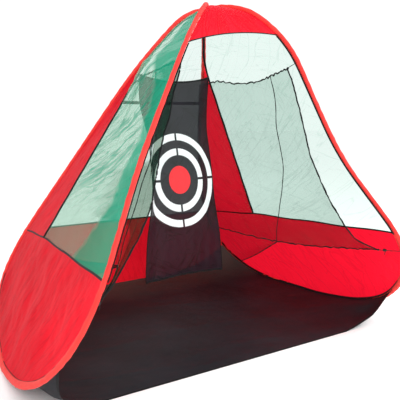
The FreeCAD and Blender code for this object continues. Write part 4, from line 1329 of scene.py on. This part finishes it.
n, mcol = 120, 70
CL = A([at(0, y_, z_) for y_, z_ in [(.389, 1.718), (.411, 1.54), (.417, 1.359), (.394, 1.235), (.357, 1.03),
                                     (.324, .831), (.292, .70), (.262, .50), (.259, .372)]])
G = np.zeros((n, mcol, 3))
u = np.linspace(-1, 1, mcol)
for i in range(n):
    f = i / (n - 1)
    c = spline(CL, f)
    half = np.interp(f, [0, .25, .5, .75, 1], [.262, .280, .308, .328, .335])
    sag = .036 * (1 - f) ** 3
    curl = .03 * math.sin(math.pi * min(1, f * 1.1))
    tw = math.radians(9) * min(1, f * 1.6)
    xx = half * u
    # the left margin hangs turned forward over the middle of the height
    turned = min(1, max(0, (f - .03) / .30)) * min(1, max(0, (1 - f) / .50))
    turned = turned * turned * (3 - 2 * turned)
    over = np.clip((-u - .63) * half, 0, None)
    along = np.linspace(0, 1, 40)[None, :] * over[:, None]
    ang = math.radians(60) * turned * np.clip(along / .035, 0, 1)
    back_x = (1 - np.cos(ang)).mean(axis=1) * over
    ahead = np.sin(ang).mean(axis=1) * over
    xx = xx + back_x
    G[i, :, 0] = xx * math.cos(tw)
    G[i, :, 1] = c[1] + xx * math.sin(tw) + curl * np.where(u < 0, 1 - turned, .3) * u ** 4 \
        - .02 * math.sin(math.pi * f) * (1 - u * u) - ahead
    G[i, :, 2] = c[2] - sag * (1 - u * u) - .028 * np.clip(u, 0, 1) ** 1.4 * f ** 2
L = np.linspace(0, 1.36, n)
uvt = np.stack(np.meshgrid(L, u * .335, indexing="ij"), -1)[..., ::-1].copy()
uvt[..., 1] = .70 - uvt[..., 1]
folds = .006 * np.sin(uvt[..., 0] * 46 + 1.0) * np.clip(np.abs(uvt[..., 0]) / .33 - .35, 0, 1)
d = folds + .006 * waves(uvt[..., 0], uvt[..., 1], 81, .4, 10) + .0022 * waves(uvt[..., 0], uvt[..., 1], 82, .09, 14, heading=0, fan=1.2)
G[..., 1] += d * np.linspace(.1, 1, n)[:, None]
TG = G
ob = grid_mesh("target_cloth_panel", G, M_TARGET, uv=uvt)
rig.ride(ob, "target")
replace_with(ob, "target_sheet")
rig.slot(ob, "target_fabric")
NRM = A([.927, 0, -.375])
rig.squash(ob, "wing_fold", NRM, (-.232, -FWD, 1.718), .03)


def target_bead(name, P, r, node=None):
    P = A(P)
    o = tube(name, P, np.cross(np.gradient(P, axis=0), A([0.1, 1.0, .1])), r, M_TAPE, 8)
    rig.ride(o, "target")
    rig.slot(o, "black_tape")
    if node:
        replace_with(o, node)
    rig.squash(o, "wing_fold", NRM, (-.232, -FWD, 1.718), .03)


target_bead("target_top_binding", TG[0], .0055, "target_top_hem")
target_bead("target_low_binding", TG[-1], .0062, "target_bottom_hem")
target_bead("target_left_binding", TG[:, 0], .003)
target_bead("target_right_binding", TG[:, -1], .003)

# ------------------------------------------------- ties, toggles and loops
def cord_bump(n_, k_):
    i_ = np.arange(n_)[:, None]
    j_ = np.arange(k_)[None, :]
    return .0003 * np.sin(i_ * 1.3 + j_ * 2 * math.pi * 2 / k_)


def thread_on(side, name, pts, r, mat, body, squashed=True, sides=8, close=True):
    P = A(pts)
    if side < 0:
        P = P * MIR
    N_ = np.cross(np.gradient(P, axis=0), A([.31, .22, .9]))
    o = tube(name, P, N_, r, mat, sides, close, cord_bump)
    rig.ride(o, body)
    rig.slot(o, "black_tape")
    if squashed:
        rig.squash(o, "wing_fold", A([.86, 0, .51 * side]), (.0074 * side, -FWD, 2.06), .05)
    return o


def coil(c, axis, radius, turns, rise, n_=60, start=0.0):
    axis = axis / np.linalg.norm(axis)
    x_ = np.cross(axis, A([1.0, .3, .1]) if abs(axis[2]) > .8 else A([.2, .1, 1.0]))
    x_ /= np.linalg.norm(x_)
    y_ = np.cross(axis, x_)
    t_ = np.linspace(0, 1, n_)
    a_ = start + t_ * turns * 2 * math.pi
    return (c + x_ * (np.cos(a_) * radius)[:, None] + y_ * (np.sin(a_) * radius)[:, None]
            + axis * ((t_ - .5) * rise)[:, None])


def lathe(name, base, axis, profile, mat, sides=28, square=0.0):
    axis = axis / np.linalg.norm(axis)
    x_ = np.cross(axis, A([.1, .3, 1.0]))
    x_ /= np.linalg.norm(x_)
    y_ = np.cross(axis, x_)
    a_ = np.linspace(0, 2 * math.pi, sides + 1)[:-1]
    k_ = 1 + square * np.cos(4 * a_) * .5
    V_, f_ = [], []
    for t_, r_ in profile:
        V_ += list(base + axis * t_ + x_ * (np.cos(a_) * r_ * k_)[:, None] + y_ * (np.sin(a_) * r_ * k_)[:, None])
    for i_ in range(len(profile) - 1):
        for j_ in range(sides):
            k2 = (j_ + 1) % sides
            f_.append((i_ * sides + j_, i_ * sides + k2, (i_ + 1) * sides + k2, (i_ + 1) * sides + j_))
    f_.append(tuple(range(sides))[::-1])
    f_.append(tuple((len(profile) - 1) * sides + j_ for j_ in range(sides)))
    V_ = A(V_)
    uv_ = np.stack([np.tile(a_ * .01, len(profile)), np.repeat([p_[0] for p_ in profile], sides)], -1)
    return mesh_from(name, V_, f_, mat, uv_)


def plastic(name, dark, light, rough):
    m_, nt_, out_ = new_mat(name)
    uv_ = uv_metres(nt_)
    b_ = nt_.nodes.new("ShaderNodeBsdfPrincipled")
    n_ = noise(nt_, uv_, 300, 4, .6)
    link(nt_, ramp(nt_, n_, [(.3, dark), (.7, light)]), b_.inputs["Base Color"])
    link(nt_, math_(nt_, "ADD", math_(nt_, "MULTIPLY", n_, .2), rough), b_.inputs["Roughness"])
    b_.inputs["Specular IOR Level"].default_value = .4
    link(nt_, bump(nt_, noise(nt_, uv_, 1500, 2, .5), .2, .0002), b_.inputs["Normal"])
    link(nt_, b_.outputs[0], out_.inputs[0])
    return m_


M_PLASTIC = plastic("black_moulded_plastic", (.006, .006, .007), (.014, .014, .015), .38)
M_STEEL, nt, out = new_mat("spring_steel")
gen = nt.nodes.new("ShaderNodeTexCoord").outputs["Object"]
bs = nt.nodes.new("ShaderNodeBsdfPrincipled")
n_ = noise(nt, gen, 90, 5, .6)
link(nt, ramp(nt, n_, [(.3, (.34, .34, .35)), (.75, (.58, .58, .60))]), bs.inputs["Base Color"])
link(nt, math_(nt, "ADD", math_(nt, "MULTIPLY", n_, .25), .25), bs.inputs["Roughness"])
bs.inputs["Metallic"].default_value = 1.0
link(nt, bump(nt, noise(nt, gen, 700, 3, .6), .25, .0002), bs.inputs["Normal"])
link(nt, bs.outputs[0], out.inputs[0])

for side, tag, body in ((1, "right", RIGHT), (-1, "left", LEFT)):
    for node in (tag + "_hoop_wire", tag + "_wire_ferrule"):
        o = frame["nodes"][node]
        o.data.materials.clear()
        o.data.materials.append(M_STEEL)
    # top tie: a doubled cord from the net's corner up to the sleeve, knotted on the hem
    corner = NE[0]
    q = station(corner[2] + .034, .1, LOW_F)
    hold = on(q)
    d_ = hold - corner
    d_ /= np.linalg.norm(d_)
    end = hold - d_ * .0165
    f_ = np.linspace(0, 1, 30)[:, None]
    side_ = np.cross(d_, A([0, 0, 1.0]))
    pts = corner + (end - corner) * f_ + side_ * (np.sin(f_ * math.pi) * .0022)
    o1 = thread_on(side, tag + "_top_tie_cord", pts, .0016, M_CORD, body)
    pts = corner + (end - corner) * f_ - side_ * (np.sin(f_ * math.pi) * .0024)
    thread_on(side, tag + "_top_tie_return", pts, .0016, M_CORD, body)
    thread_on(side, tag + "_top_tie_knot", coil(corner + d_ * .005, d_, .0042, 2.6, .008), .0020, M_CORD, body)
    replace_with(o1, tag + "_net_top_tie")
    # low tie with its cord lock
    corner = NE[-1]
    q = station(corner[2] + .004, LOW_F - .2, BASE_F)
    hold = on(q)
    d_ = hold - corner
    d_ /= np.linalg.norm(d_)
    end = hold - d_ * .0165
    side_ = np.cross(d_, A([0, 0, 1.0]))
    pts = corner + (end - corner) * f_ + A([0, 0, -.002]) * np.sin(f_ * math.pi)
    o1 = thread_on(side, tag + "_low_tie_cord", pts, .0023, M_CORD, body)
    thread_on(side, tag + "_low_tie_knot", coil(corner + d_ * .006, d_, .0048, 2.4, .009), .0022, M_CORD, body)
    tail = A([corner + d_ * .052 + A([0, 0, -.001]), corner + d_ * .050 + side_ * .006 + A([0, 0, -.010]),
              corner + d_ * .047 + side_ * .004 + A([0, 0, -.020]), corner + d_ * .045 + A([0, 0, -.030])])
    thread_on(side, tag + "_low_tie_tail", [spline(tail, x) for x in np.linspace(0, 1, 26)], .0020, M_CORD, body)
    replace_with(o1, tag + "_net_low_tie")
    base = corner + d_ * .034
    prof = [(0, .0046), (.0006, .0062), (.003, .0078), (.007, .0088), (.0085, .0084), (.0095, .0088), (.011, .0084),
            (.012, .0088), (.0135, .0084), (.0145, .0087), (.0168, .0078), (.0176, .0064), (.0178, .0055), (.0226, .0055),
            (.0236, .0048), (.0240, .0034)]
    o2 = lathe(tag + "_toggle", base if side > 0 else base * MIR, d_ if side > 0 else d_ * MIR, prof, M_PLASTIC,
               28, .10)
    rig.ride(o2, body)
    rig.slot(o2, "black_plastic")
    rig.squash(o2, "wing_fold", A([.86, 0, .51 * side]), (.0074 * side, -FWD, 2.06), .05)
    replace_with(o2, tag + "_cord_lock")
    # loop that carries the target's top corner, sewn to the net's rear edge
    top_l = TG[0, -1] if side > 0 else TG[0, 0] * MIR
    anchor_ = beside(station(1.722, LOW_R, TOTAL - .3), at(.1, .2, 1.72), .017)
    pv = A([.2575, at(0, .389, 0)[1], 1.718])
    pts = [anchor_, anchor_ * .5 + pv * .5 + A([.004, .004, -.007]), pv, pv + A([-.006, -.010, .004]),
           anchor_ * .6 + pv * .4 + A([0, -.008, .008]), anchor_ + A([.002, 0, .004])]
    o3 = thread_on(side, tag + "_target_loop", [spline(A(pts), x) for x in np.linspace(0, 1, 60)], .0021, M_CORD, body)
    thread_on(side, tag + "_target_loop_knot", coil(anchor_ + A([.001, 0, .002]), A([.2, .1, 1.0]), .0044, 2.2, .007),
              .0021, M_CORD, body)
    replace_with(o3, tag + "_target_tie")

# ---------------------------------------------------------- floor, light
me = bpy.data.meshes.new("studio_floor")
me.from_pydata([(-40, -40, -.0005), (40, -40, -.0005), (40, 40, -.0005), (-40, 40, -.0005)], [], [(0, 1, 2, 3)])
floor = bpy.data.objects.new("studio_floor", me)
bpy.context.scene.collection.objects.link(floor)
m, nt, out = new_mat("studio_floor")
bs = nt.nodes.new("ShaderNodeBsdfPrincipled")
bs.inputs["Base Color"].default_value = (.97, .97, .97, 1)
bs.inputs["Roughness"].default_value = .9
bs.inputs["Specular IOR Level"].default_value = .1
link(nt, bs.outputs[0], out.inputs[0])
me.materials.append(m)
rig.stage(floor)

w = bpy.data.worlds.new("studio")
bpy.context.scene.world = w
w.use_nodes = True
w.node_tree.nodes["Background"].inputs[0].default_value = (1, 1, 1, 1)
w.node_tree.nodes["Background"].inputs[1].default_value = 1.12


def area(name, loc, target, size, power):
    l = bpy.data.lights.new(name, "AREA")
    l.shape = "DISK"
    l.size = size
    l.energy = power
    o = bpy.data.objects.new(name, l)
    bpy.context.scene.collection.objects.link(o)
    o.location = loc
    o.rotation_mode = "QUATERNION"
    o.rotation_quaternion = (Vector(target) - Vector(loc)).to_track_quat("-Z", "Y")
    return o


area("key", (4.5, -4.0, 5.0), (0, 0, .9), 3.0, 260)
area("fill", (-3.0, -6.0, 3.5), (0, 0, .8), 4.0, 150)

cam_data = bpy.data.cameras.new("camera")
cam_data.sensor_width = 36.0
cam_data.lens = 540.7 / 400 * 36
cam_data.clip_end = 200
cam = bpy.data.objects.new("camera", cam_data)
bpy.context.scene.collection.objects.link(cam)
cam.location = (-1.816, -2.895 - FWD, 1.451)
az, pitch = math.radians(-31.47), math.radians(8.78)
fwd = Vector((-math.sin(az) * math.cos(pitch), math.cos(az) * math.cos(pitch), -math.sin(pitch)))
cam.rotation_mode = "QUATERNION"
cam.rotation_quaternion = fwd.to_track_quat("-Z", "Y")
bpy.context.scene.camera = cam
bpy.context.scene.view_settings.view_transform = "Standard"
bpy.context.scene.view_settings.look = "None"

def declare(name, held, rests, withp=()):
    w_, l_, a_ = SHEETS[name]
    if a_ < .4 * w_ * l_:             # a triangular cut: its height is what matters, not its slant side
        l_ = 2 * a_ / w_
    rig.sheet(bpy.data.objects[name], flat=(round(w_ + .0005, 3), round(l_ + .0005, 3)), held=held, rests_on=list(rests),
             area=round(a_, 4), with_pieces=[bpy.data.objects[n_] for n_ in withp])
    print("SHEET", name, held, round(w_, 3), round(l_, 3), round(a_, 3))


sleeves = ["left_sleeve", "right_sleeve"]
for tag in ("left", "right"):
    own = [tag + "_sleeve"]
    declare(tag + "_mesh_wall", "stretched", own, [tag + "_front_binding"])
    declare(tag + "_wedge", "stretched", own, [tag + "_wedge_binding"])
    declare(tag + "_skirt", "stretched", own, [tag + "_skirt_binding"])
    declare(tag + "_side_net", "hung", [tag + "_top_tie_cord", tag + "_low_tie_cord", tag + "_target_loop"],
            [tag + "_net_front_hem", tag + "_net_top_hem", tag + "_net_low_hem", tag + "_net_rear_hem",
             tag + "_net_seam"])
    declare(tag + "_net_gusset", "hung", [tag + "_side_net", tag + "_sleeve"], [tag + "_gusset_hem"])
declare("header", "stretched", sleeves, ["header_hem"])
for k in (1, 2, 3):
    declare("rear_mesh_%d" % k, "stretched", sleeves)
declare("rear_skirt_cloth", "stretched", sleeves, ["rear_skirt_binding"])
declare("ground_sheet", "laid", ["studio_floor"] + sleeves, ["ground_front_binding"])
declare("target_cloth_panel", "hung", ["left_target_loop", "right_target_loop"],
        ["target_top_binding", "target_low_binding", "target_left_binding", "target_right_binding"])

vis_lo, vis_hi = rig.bounds()
with open("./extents.json", "w") as fh:
    json.dump({"cad": [list(cad_lo), list(cad_hi)], "visual": [list(vis_lo), list(vis_hi)]}, fh)
